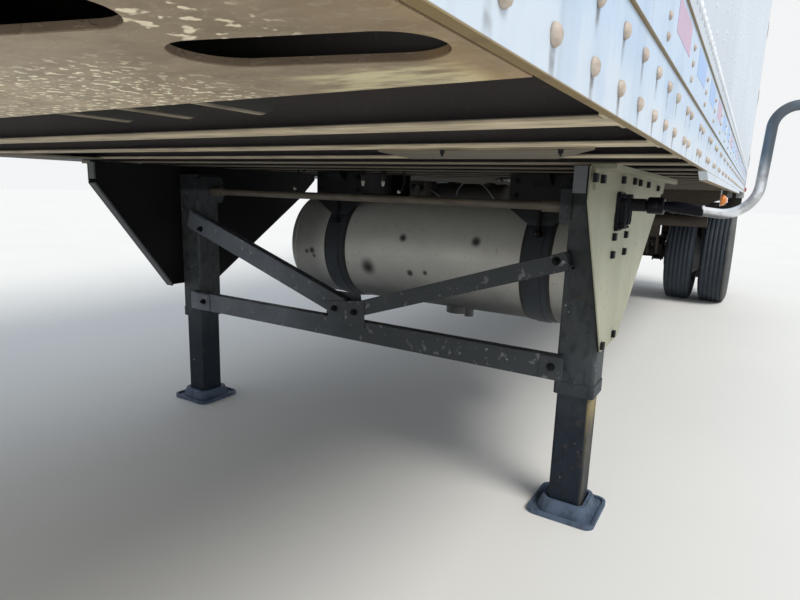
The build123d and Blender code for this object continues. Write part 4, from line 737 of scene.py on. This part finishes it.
crank_coat = Coat("crank_steel", "bare_steel", Specular_IOR_Level=0.15)
rubbed = crank_coat.ease(crank_coat.y + crank_coat.noise(60, 3) * 0.02, 1.300, 1.306)
handled = crank_coat.noise(46, 4, (1, 0.4, 0.4))
# Painted light on the bare steel: near white as a painted highlight along the level bar, darker blue-grey
# higher up the rising end.
bare_lit_and_shaded = crank_coat.mix(crank_coat.ease(crank_coat.z, -0.06, 0.06), srgb(238, 239, 242), srgb(104, 116, 126))
bare_lit_and_shaded = crank_coat.mix(crank_coat.ease(handled, 0.47, 0.62) * 0.5, bare_lit_and_shaded, srgb(96, 92, 92))
# Painted shade under the level bar's axis and on the far side of the rising end.
over_axis = crank_coat.z + (crank_coat.y - 1.19) * 0.115 - (GROUND + 1.095)
under = crank_coat.ease(over_axis, 0.002, -0.009)
far_side_shade = crank_coat.ease(crank_coat.y, 1.431, 1.441) * crank_coat.ease(crank_coat.z, 0.17, 0.13)
bare_lit_and_shaded = crank_coat.mix(under * 0.8, bare_lit_and_shaded, srgb(52, 54, 60))
bare_lit_and_shaded = crank_coat.mix(far_side_shade * 0.6, bare_lit_and_shaded, srgb(72, 78, 84))
crank_coat.feed(Base_Color=crank_coat.mix(rubbed, srgb(10, 11, 20), bare_lit_and_shaded),
                Metallic=rubbed * 0.6, Roughness=handled * 0.3 + 0.25)
crank_coat.bump(handled, 0.0006)
paint(crank_coat, "crank")


def nut(size=0.015):
    """A washer, a six-sided nut with a chamfered crown and the end of its stud, stacked up Z."""
    washer = raised(circle(16, size * 1.25), [(0, 0), (1, 0), (1, 0.003), (0, 0.003)])
    body = raised(circle(6, size), [(0, 0.003), (1, 0.003), (1, 0.012), (0.88, 0.014), (0, 0.014)])
    stud = raised(circle(10, size * 0.52), [(0, 0.014), (1, 0.014), (1, 0.020), (0.8, 0.0215), (0, 0.0215)])
    return washer, body, stud


def on_all(shapes, places, facing, up=(0, 0, 1)):
    """Several shapes that make one fastener, at places that all face one way."""
    return [copies(shape, places, facing, up) for shape in shapes]


ANGLE_BOLTS = ((-1.689, -0.036), (-1.777, -0.037), (-2.064, -0.031), (-2.260, -0.030),
               (-2.373, -0.032), (-2.560, -0.035), (-2.826, -0.044))
PLATE_BOLTS = ((-2.072, -0.087), (-2.264, -0.086), (-2.049, -0.150), (-2.255, -0.151),
               (-2.049, -0.210), (-2.243, -0.212), (-2.047, -0.267), (-2.240, -0.271),
               (-2.198, -0.560), (-2.028, -0.566))
bolt_dark = leg_finish("bolt_dark", (7, 8, 13), (22, 24, 31), (7, 8, 13), (22, 24, 31))
paint(bolt_dark, "gearbox")
square_head = raised(circle(4, 0.0164, np.pi / 4), [(0, 0), (1, 0), (1, 0.0095), (0.9, 0.0115), (0, 0.0115)])
places = [(x, ANGLE_OUT, z) for x, z in ANGLE_BOLTS] + [(x, PLATE_OUT, z) for x, z in PLATE_BOLTS]
add("wing_bolts", on_sides(square_head, places), bolt_dark)
inner_places = [(x, -(PLATE_OUT - 0.0081), z) for x, z in PLATE_BOLTS[:8]]
add("wing_nuts", on_all(nut(0.014), inner_places, (0, 1, 0))
    + on_all(nut(0.014), np.array(inner_places) * (1, -1, 1), (0, -1, 0)), bolt_dark)

COVER_X = LEG_FRONT + 0.0303
BARS = (                 # y and z of the two ends and the width of each bar of the brace
    (-0.936, -0.659, 0.936, -0.659, 0.084), (-0.934, -0.252, 0.015, -0.575, 0.084),
    (0.050, -0.582, 0.934, -0.291, 0.060),
)
TABS = (                 # y, z, length, width, slope in degrees of each bolted end of the brace
    (-0.862, -0.278, 0.115, 0.080, -18.8), (-0.850, -0.659, 0.110, 0.080, 0.0),
    (0.893, -0.304, 0.080, 0.058, 18.2), (0.904, -0.659, 0.080, 0.080, 0.0),
)
BOLTED = ((-0.838, -0.299), (-0.835, -0.655), (0.893, -0.296), (0.904, -0.655),
          (-0.020, -0.578), (0.081, -0.581))


def tilted(long, wide, slope, clip, thick):
    """A plate with clipped corners, turned by a slope in degrees, thick high with a worn edge."""
    corner = np.array([(-0.5, -0.5 + clip), (-0.5 + clip, -0.5), (0.5 - clip, -0.5), (0.5, -0.5 + clip),
                       (0.5, 0.5 - clip), (0.5 - clip, 0.5), (-0.5 + clip, 0.5), (-0.5, 0.5 - clip)])
    lean = np.radians(slope)
    turn = np.array([(np.cos(lean), np.sin(lean)), (-np.sin(lean), np.cos(lean))])
    steps = [(0, 0), (1, 0), (1, thick * 0.7), (0.985, thick), (0, thick)]
    return raised(corner * (long, wide) @ turn, steps)


covers = []
for y0, z0, y1, z1, wide in BARS:
    run = np.hypot(y1 - y0, z1 - z0)
    plate = tilted(run, wide, np.degrees(np.arctan2(z1 - z0, y1 - y0)), 0.001, 0.0012)
    covers.append(copies(plate, [(COVER_X, (y0 + y1) / 2, (z0 + z1) / 2)], (1, 0, 0), (0, 0, 1)))
covers += [copies(tilted(long, wide, slope, 0.08, 0.005), [(COVER_X + 0.0012, y, z)], (1, 0, 0), (0, 0, 1))
           for y, z, long, wide, slope in TABS]
GUSSET = np.array([(-0.072, -0.552), (0.000, -0.545), (0.128, -0.527), (0.132, -0.640), (-0.040, -0.663)])
middle = GUSSET.mean(axis=0)
gusset = raised((GUSSET - middle)[::-1], [(0, 0), (1, 0), (1, 0.003), (0.98, 0.004), (0, 0.004)])
covers.append(copies(gusset, [(COVER_X + 0.0014, *middle)], (1, 0, 0), (0, 0, 1)))
add("brace_covers", covers, brace_coat)
add("brace_bolts", on_all(nut(0.0115), [(COVER_X + 0.006, y, z) for y, z in BOLTED], (1, 0, 0)), bolt_dark)

CASE_LOW, CASE_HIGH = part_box("gearbox")
case_places = [(LEG_X + x, CASE_LOW[1] + 0.010, z) for x in (-0.034, 0.034)
               for z in (CASE_LOW[2] + 0.013, CASE_HIGH[2] - 0.013)]
case_ribs = raised(np.array([(-0.003, -0.040), (0.003, -0.040), (0.003, 0.040), (-0.003, 0.040)]),
                   [(0, 0), (1, 0), (1, 0.004), (0.7, 0.006), (0, 0.006)])
rib_places = [(LEG_X + x, CASE_LOW[1] + 0.034, (CASE_LOW[2] + CASE_HIGH[2]) / 2) for x in (-0.016, 0.016)]
add("gearbox_bolts", on_all(nut(0.0075), case_places, (0, 1, 0))
    + [copies(case_ribs, rib_places, (0, 1, 0), (0, 0, 1))], bolt_dark)
CRANK_Z = GROUND + 1.095
pin_places = [(LEG_X + side * 0.0255, 1.160, CRANK_Z) for side in SIDES]
pins = [copies(shape, [place], (side, 0, 0), (0, 0, 1))
        for side, place in zip(SIDES, pin_places) for shape in nut(0.0085)]
add("crank_pin", pins, bolt_dark)

HANGING = ((-1.130, 0.901), (-1.136, 1.127), (-1.130, -0.901), (-1.136, -1.127), (-2.351, -0.509))
hanging_places = [(x, y, -0.0053 if x > -2 else 0.0) for x, y in HANGING]
small_nut = [(points * 0.55, faces) for points, faces in nut(0.0085)]
add("hanging_bolts", on_all(small_nut, hanging_places, (0, 0, -1), (1, 0, 0)), bolt_dark)


# Fuel tank. A round aluminium drum, dull and pitted with dark spots and darker towards its bottom
# and right end as painted shade, in two black steel straps over rubber liners that stand out past
# the steel on both sides.
TANK_LOW, TANK_HIGH = (np.array(end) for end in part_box("fuel_tank"))
TANK_X = -2.810
TANK_Z = -0.398
STRAPS = (-0.456, 0.641)
TANK_SPOTS = (           # place and radius of each dark blot on the drum
    (-2.544, -0.246, -0.482, 0.066), (-2.542, -0.038, -0.317, 0.030), (-2.546, 0.353, -0.308, 0.034),
    (-2.546, 0.007, -0.488, 0.024), (-2.542, 0.094, -0.478, 0.020), (-2.532, -0.613, -0.423, 0.024),
    (-2.536, -0.650, -0.430, 0.020), (-2.540, -0.600, -0.452, 0.016), (-2.560, 0.300, -0.520, 0.036),
)
tank_coat = Coat("tank_metal", "tank_aluminium", Metallic=0.35)
cloud = tank_coat.noise(5, 5)
brushed = tank_coat.noise(150, 2, (1, 0.05, 1))
metal = tank_coat.mix(cloud, srgb(232, 230, 222), srgb(196, 194, 186))
# Painted shade: the drum darkens towards its bottom, more deeply low down, and towards its right end.
shadow = tank_coat.ease(tank_coat.z + cloud * 0.12, TANK_Z + 0.03, TANK_Z - 0.17)
metal = tank_coat.mix(shadow * 0.80, metal, srgb(84, 87, 87))
end_shade = tank_coat.ease(tank_coat.y, -0.50, -0.62)
metal = tank_coat.mix(end_shade * 0.45, metal, srgb(92, 92, 90))
low_shade = tank_coat.ease(tank_coat.z, TANK_Z - 0.16, TANK_Z - 0.26)
metal = tank_coat.mix(low_shade * 0.75, metal, srgb(46, 49, 49))
speck = tank_coat.ease(tank_coat.noise(60, 3), 0.62, 0.69)
metal = tank_coat.mix(speck * 0.22, metal, srgb(80, 76, 70))
for x, y, z, radius in TANK_SPOTS:
    reach = tank_coat.node("VectorMath", {"operation": "DISTANCE"}, {0: tank_coat.place, 1: (x, y, z)}, 1)
    blot = tank_coat.ease(reach + cloud * radius * 0.5, radius * 1.25, radius * 0.45)
    metal = tank_coat.mix(blot * 0.93, metal, srgb(32, 31, 31))
tank_coat.feed(Base_Color=metal, Roughness=cloud * 0.25 + brushed * 0.12 + 0.30)
tank_coat.bump(brushed * 0.4 + cloud, 0.0005)
paint(tank_coat, "fuel_tank")
strap_coat = Coat("strap_black", "strap_black", Specular_IOR_Level=0.3)
film = strap_coat.noise(11, 4, (1, 1, 0.4))
strap = strap_coat.mix(film, srgb(42, 46, 51), srgb(74, 79, 86))
strap = strap_coat.mix(strap_coat.ease(strap_coat.z, TANK_Z + 0.15, TANK_Z + 0.22), strap, srgb(17, 18, 22))
strap_coat.feed(Base_Color=strap, Roughness=film * 0.25 + 0.5)
strap_coat.bump(film, 0.0006)
paint(strap_coat, "tank_mountings")


def hoop(profile, y):
    """A ring round the tank's axis from (radius, y offset) pairs turned through 96 steps."""
    angle = np.linspace(0, 2 * np.pi, 97)
    profile = np.vstack([profile, profile[:1]])
    r = profile[:, 0][:, None]
    across = np.broadcast_to(profile[:, 1][:, None] + y, (len(profile), 97))
    return skin(np.stack([TANK_X + r * np.cos(angle), across, TANK_Z + r * np.sin(angle)], axis=-1))


liner = np.array([(0.2802, 0.056), (0.2838, 0.056), (0.2838, 0.066), (0.2822, 0.069), (0.2802, 0.069)])
hoops = [hoop(liner * (1, end), y) for y in STRAPS for end in (1, -1)]
add("strap_liners", hoops, seal_coat)
weld = np.array([(0.2798, -0.006), (0.2818, -0.004), (0.2824, 0.0), (0.2818, 0.004), (0.2798, 0.006)])
welds = [hoop(weld, y) for y in (TANK_LOW[1] + 0.045, TANK_HIGH[1] - 0.045)]
add("tank_welds", welds, tank_coat, smooth=True)

draw_bolt = raised(circle(12, 0.008), [(0, 0), (1, 0), (1, 0.13), (0, 0.13)])
draw_places = [(TANK_X + end * 0.262, y, TANK_Z + 0.145) for y in STRAPS for end in (1, -1)]
eye = raised(circle(14, 0.018) * (1, 1.9), [(0, 0), (1, 0), (1, 0.020), (0.85, 0.024), (0, 0.024)])
eye_places = np.array(draw_places) - (0, 0, 0.012)
hanger_places = [(TANK_X + 0.243, y + dy, z) for y in STRAPS for dy in (-0.120, 0.120)
                 for z in (-0.030, -0.095)]
add("strap_bolts", [copies(draw_bolt, draw_places, (0, 0, 1), (1, 0, 0)),
                    copies(eye, eye_places, (0, 0, 1), (1, 0, 0))]
    + on_all(nut(0.012), hanger_places, (1, 0, 0)), bolt_dark)


# Air lines. Two plastic hoses clipped under the beams, three loose loops ahead of the rear
# reservoir, two short elbows with brass ends, and two floor drains.
def smooth_path(corners, steps=10):
    """Catmull-Rom curve through its corners, steps points to each span."""
    corners = np.array(corners, dtype=float)
    ends = np.vstack([2 * corners[0] - corners[1], corners, 2 * corners[-1] - corners[-2]])
    t = np.linspace(0, 1, steps, endpoint=False)[:, None]
    spans = []
    for a, b, c, d in zip(ends, ends[1:], ends[2:], ends[3:]):
        spans.append(0.5 * (2 * b + (c - a) * t + (2 * a - 5 * b + 4 * c - d) * t ** 2
                            + (3 * b - a - 3 * c + d) * t ** 3))
    return np.vstack(spans + [corners[-1:]])


def hose(corners, radius, steps=10, count=8):
    """A round section carried along a smooth path, its frame turned as little as it can be."""
    line = smooth_path(corners, steps)
    along = np.gradient(line, axis=0)
    along /= np.linalg.norm(along, axis=1)[:, None]
    side = np.cross(along[0], (0.3, 0.2, 1.0))
    rings = []
    angle = np.linspace(0, 2 * np.pi, count + 1)
    for point, way in zip(line, along):
        side = side - way * (side @ way)
        side /= np.linalg.norm(side)
        over = np.cross(way, side)
        rings.append(point + radius * (np.cos(angle)[:, None] * side + np.sin(angle)[:, None] * over))
    caps = [np.repeat(line[:1], count + 1, axis=0), np.repeat(line[-1:], count + 1, axis=0)]
    return skin(np.stack([caps[0]] + rings + [caps[1]]))


hose_coat = Coat("hose_plastic", "flap_rubber", Roughness=0.5)
hose_dust = hose_coat.noise(30, 3)
hose_coat.feed(Base_Color=hose_coat.mix(hose_dust, srgb(62, 66, 68), srgb(112, 114, 112)))
RESERVOIR_FRONT = -4.983
LOOPS = (
    [(-4.93, -0.72, 0.004), (-4.93, -0.813, 0.020), (-4.93, -0.905, -0.055),
     (RESERVOIR_FRONT, -0.951, -0.124)],
    [(-4.93, -0.72, 0.004), (-4.93, -0.648, -0.038), (-4.93, -0.590, -0.100),
     (RESERVOIR_FRONT, -0.570, -0.150)],
    [(-4.80, -1.195, -0.020), (-4.90, -1.225, -0.060), (-4.94, -1.150, -0.107),
     (RESERVOIR_FRONT, -1.120, -0.140)],
)
RUNS = [[(-3.20, y, -0.010), (-4.0, y, -0.011), (-5.4, y, -0.011), (-6.30, y, -0.011), (-6.50, y, -0.030)]
        for y in (0.170, 0.205)]
lines = [hose(loop, 0.0050) for loop in LOOPS] + [hose(run, 0.0080) for run in RUNS]
add("air_lines", lines, hose_coat, smooth=True)

clip_outline = np.array([(-0.010, -0.034), (0.010, -0.034), (0.010, 0.034), (-0.010, 0.034)])
clip = raised(clip_outline, [(0, 0), (1, 0), (1, 0.019), (0.8, 0.0205), (0, 0.0205)])
clip_x = BEAM_FIRST - BEAM_PITCH * np.arange(8, 18)
add("line_clips", [copies(clip, [(x, 0.1875, 0.0) for x in clip_x], (0, 0, -1), (1, 0, 0))], strap_coat)

drain = raised(circle(12, 0.013), [(0, 0), (1, 0), (0.8, 0.040), (0.70, 0.048), (0.45, 0.070), (0, 0.071)])
drain_coat = Coat("drain_plastic", "flap_rubber", Roughness=0.5)
drain_coat.feed(Base_Color=drain_coat.mix(drain_coat.ease(drain_coat.z, -0.046, -0.052), srgb(30, 30, 30),
                                          srgb(176, 174, 164)))
DRAIN_X = -2.351
add("floor_drains", [copies(drain, [(DRAIN_X, y, 0.0) for y in (-0.150, -0.038)], (0, 0, -1), (1, 0, 0))],
    drain_coat, smooth=True)
brass_coat = Coat("fitting_brass", "galvanised_steel", Metallic=0.8)
worn_brass = brass_coat.noise(60, 3)
brass_coat.feed(Base_Color=brass_coat.mix(worn_brass, srgb(226, 222, 208), srgb(150, 142, 122)),
                Roughness=worn_brass * 0.3 + 0.2)
ELBOWS = (0.064, -0.558)
elbows = [[(DRAIN_X, y + 0.010, 0.0), (DRAIN_X, y + 0.010, -0.050), (DRAIN_X, y, -0.082),
           (DRAIN_X, y - 0.012, -0.090)] for y in ELBOWS]
add("line_elbows", [hose(elbow, 0.0045, 8, 12) for elbow in elbows], strap_coat, smooth=True)
end_nut = raised(circle(6, 0.0085), [(0, 0), (0.8, 0), (1, 0.002), (1, 0.010), (0.7, 0.013), (0, 0.013)])
end_places = [(DRAIN_X, y - 0.010, -0.089) for y in ELBOWS]
add("line_ends", [copies(end_nut, end_places, (0, -0.8, -0.6), (1, 0, 0))], brass_coat)


# Wheels. Radial tyres with ribbed treads on white disc wheels, cast hubs and drums; each
# pair turns as one.
wheel_coat = white_sheet("wheel_white", "wheel_white", -1.2, 0.2, (196, 198, 198))
paint(wheel_coat, "wheels_left", "wheels_right")
hub_coat = Coat("hub_iron", "hub_iron", Metallic=0.2)
scale = hub_coat.noise(40, 4)
hub_coat.feed(Base_Color=hub_coat.mix(scale, srgb(58, 46, 38), srgb(96, 70, 52)),
              Roughness=scale * 0.3 + 0.5)
hub_coat.bump(scale, 0.001)
paint(hub_coat, "hub_left", "hub_right")

tyre_coat = Coat("tyre_rubber", "tyre_rubber", Specular_IOR_Level=0.3)
dusting = tyre_coat.noise(9, 4)
rubber = tyre_coat.mix(dusting, srgb(36, 42, 49), srgb(62, 69, 77))
# Outer sidewalls pale grey: dust, made paler as painted sunlight.
sidewall_dust_and_light = (tyre_coat.ease(abs(tyre_coat.y) + dusting * 0.02, 1.225, 1.255)
             * (tyre_coat.ease(tyre_coat.noise(5, 4), 0.30, 0.70) * 0.4 + 0.5))
rubber = tyre_coat.mix(sidewall_dust_and_light, rubber, srgb(96, 95, 91))
tyre_coat.feed(Base_Color=rubber, Roughness=dusting * 0.2 + 0.65)
tyre_coat.bump(tyre_coat.noise(220, 2), 0.0004)


def tyre_skin(node):
    """Turned section: (radius, half width) rows over the walls and tread, cut by five grooves
    round the tread and by short slots across its shoulders that repeat with the angle."""
    low, high = (np.array(end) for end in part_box(node))
    middle = (low + high) / 2
    radius = (high[2] - low[2]) / 2
    half = (high[1] - low[1]) / 2
    wall = [(0.290, 0.62), (0.286, 0.76), (0.296, 0.80), (0.312, 0.86), (0.322, 0.86), (0.330, 0.90),
            (0.360, 0.975), (0.390, 1.0), (0.418, 0.99), (0.424, 1.0), (0.430, 0.985), (0.452, 0.955),
            (0.470, 0.90), (0.486, 0.850), (0.498, 0.826)]
    tread = [(0.5015, 0.800)]
    for groove in (0.60, 0.30, 0.0, -0.30, -0.60):
        crown = radius - 0.0045 * groove ** 2
        tread += [(crown, groove + 0.020), (crown - 0.006, groove + 0.013),
                  (crown - 0.006, groove - 0.013), (crown, groove - 0.020)]
    tread.append((0.5015, -0.800))
    far = [(row, -share) for row, share in reversed(wall)]
    inside = [(0.300, -0.50), (0.400, -0.84), (0.465, -0.70), (0.472, 0.0), (0.465, 0.70),
              (0.400, 0.84), (0.300, 0.50), (0.290, 0.62)]
    section = np.array(wall + tread + far + inside)
    angle = np.linspace(0, 2 * np.pi, 193)
    slot = (np.arange(193) % 4 == 0).astype(float)
    shoulder = ((np.abs(section[:, 1]) > 0.79) & (section[:, 0] > 0.480)).astype(float)
    reach = section[:, 0][:, None] - 0.006 * shoulder[:, None] * slot[None]
    across = np.broadcast_to(section[:, 1][:, None] * half, reach.shape)
    grid = np.stack([reach * np.cos(angle), across, reach * np.sin(angle)], axis=-1)
    return skin(grid + middle)


for side in ("left", "right"):
    for row in ("inner", "outer"):
        node = f"tyre_{side}_{row}"
        tyre = add(f"tread_{side}_{row}", [tyre_skin(node)], tyre_coat, f"wheels_{side}", smooth=True)
        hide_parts(node)
        paint(tyre_coat, node)


for side, name in zip(SIDES, ("left", "right")):
    wheel_low, wheel_high = (np.array(end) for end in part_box(f"wheels_{name}"))
    hub_x, hub_z = (wheel_low[0] + wheel_high[0]) / 2, (wheel_low[2] + wheel_high[2]) / 2
    outer_y = max(abs(wheel_low[1]), abs(wheel_high[1]))
    stem = [(hub_x, side * (outer_y - inside), hub_z + above)
            for inside, above in ((0.075, 0.262), (0.040, 0.250), (0.006, 0.238))]
    add(f"valve_stem_{name}", [hose(stem, 0.005, 6, 10)], brass_coat, f"wheels_{name}", smooth=True)


# Rubber parts and lamps. Black flaps with upright ribs, bolted to their bars, blocks at the sill,
# and domed plastic lenses.
rubber_coat = Coat("flap_rubber", "flap_rubber", Roughness=0.7)
mud = rubber_coat.noise(8, 4)
splash = rubber_coat.ease(rubber_coat.z + mud * 0.5, -0.35, -0.85)
rubber = rubber_coat.mix(mud, srgb(24, 24, 25), srgb(52, 50, 46))
rubber_coat.feed(Base_Color=rubber_coat.mix(splash * 0.5, rubber, srgb(104, 96, 82)))
paint(rubber_coat, "dock_bumpers", "mud_flaps")
FLAP_LOW, FLAP_HIGH = (np.array(end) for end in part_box("mud_flaps"))
flap_middle = (FLAP_LOW[2] + FLAP_HIGH[2]) / 2
flap_half = (FLAP_HIGH[2] - FLAP_LOW[2]) / 2 - 0.03
flap_y = np.arange(0.70, 1.24, 0.054)
rib_outline = np.array([(-0.5, -1), (0.5, -1), (0.5, 1), (-0.5, 1)]) * (0.012, flap_half)
flap_rib = raised(rib_outline, [(0, 0), (1, 0), (0.8, 0.003), (0, 0.003)])
flap_places = [(FLAP_LOW[0], side * y, flap_middle) for side in SIDES for y in flap_y]
add("flap_ribs", [copies(flap_rib, flap_places, (-1, 0, 0), (0, 0, 1))], rubber_coat)
flap_bolts = [(FLAP_LOW[0], side * y, FLAP_HIGH[2] - 0.015)
              for side in SIDES for y in (0.72, 0.85, 0.96, 1.07, 1.20)]
add("flap_bolts", on_all(nut(0.010), flap_bolts, (-1, 0, 0)), zinc_coat)


def lens(name, slot, colour, deep):
    """A plastic lens with small facets, deeper in colour at their edges."""
    coat = Coat(name, slot, Roughness=0.22, Coat_Weight=0.4)
    facets = coat.cells(180)
    coat.feed(Base_Color=coat.mix(facets, srgb(*colour), srgb(*deep)))
    coat.bump(facets, 0.001)
    return coat


paint(lens("amber_lens", "amber_lens", (240, 150, 46), (196, 96, 16)), "marker_lamps")
paint(lens("red_lens", "red_lens", (196, 26, 22), (120, 10, 10)), "tail_lamps")
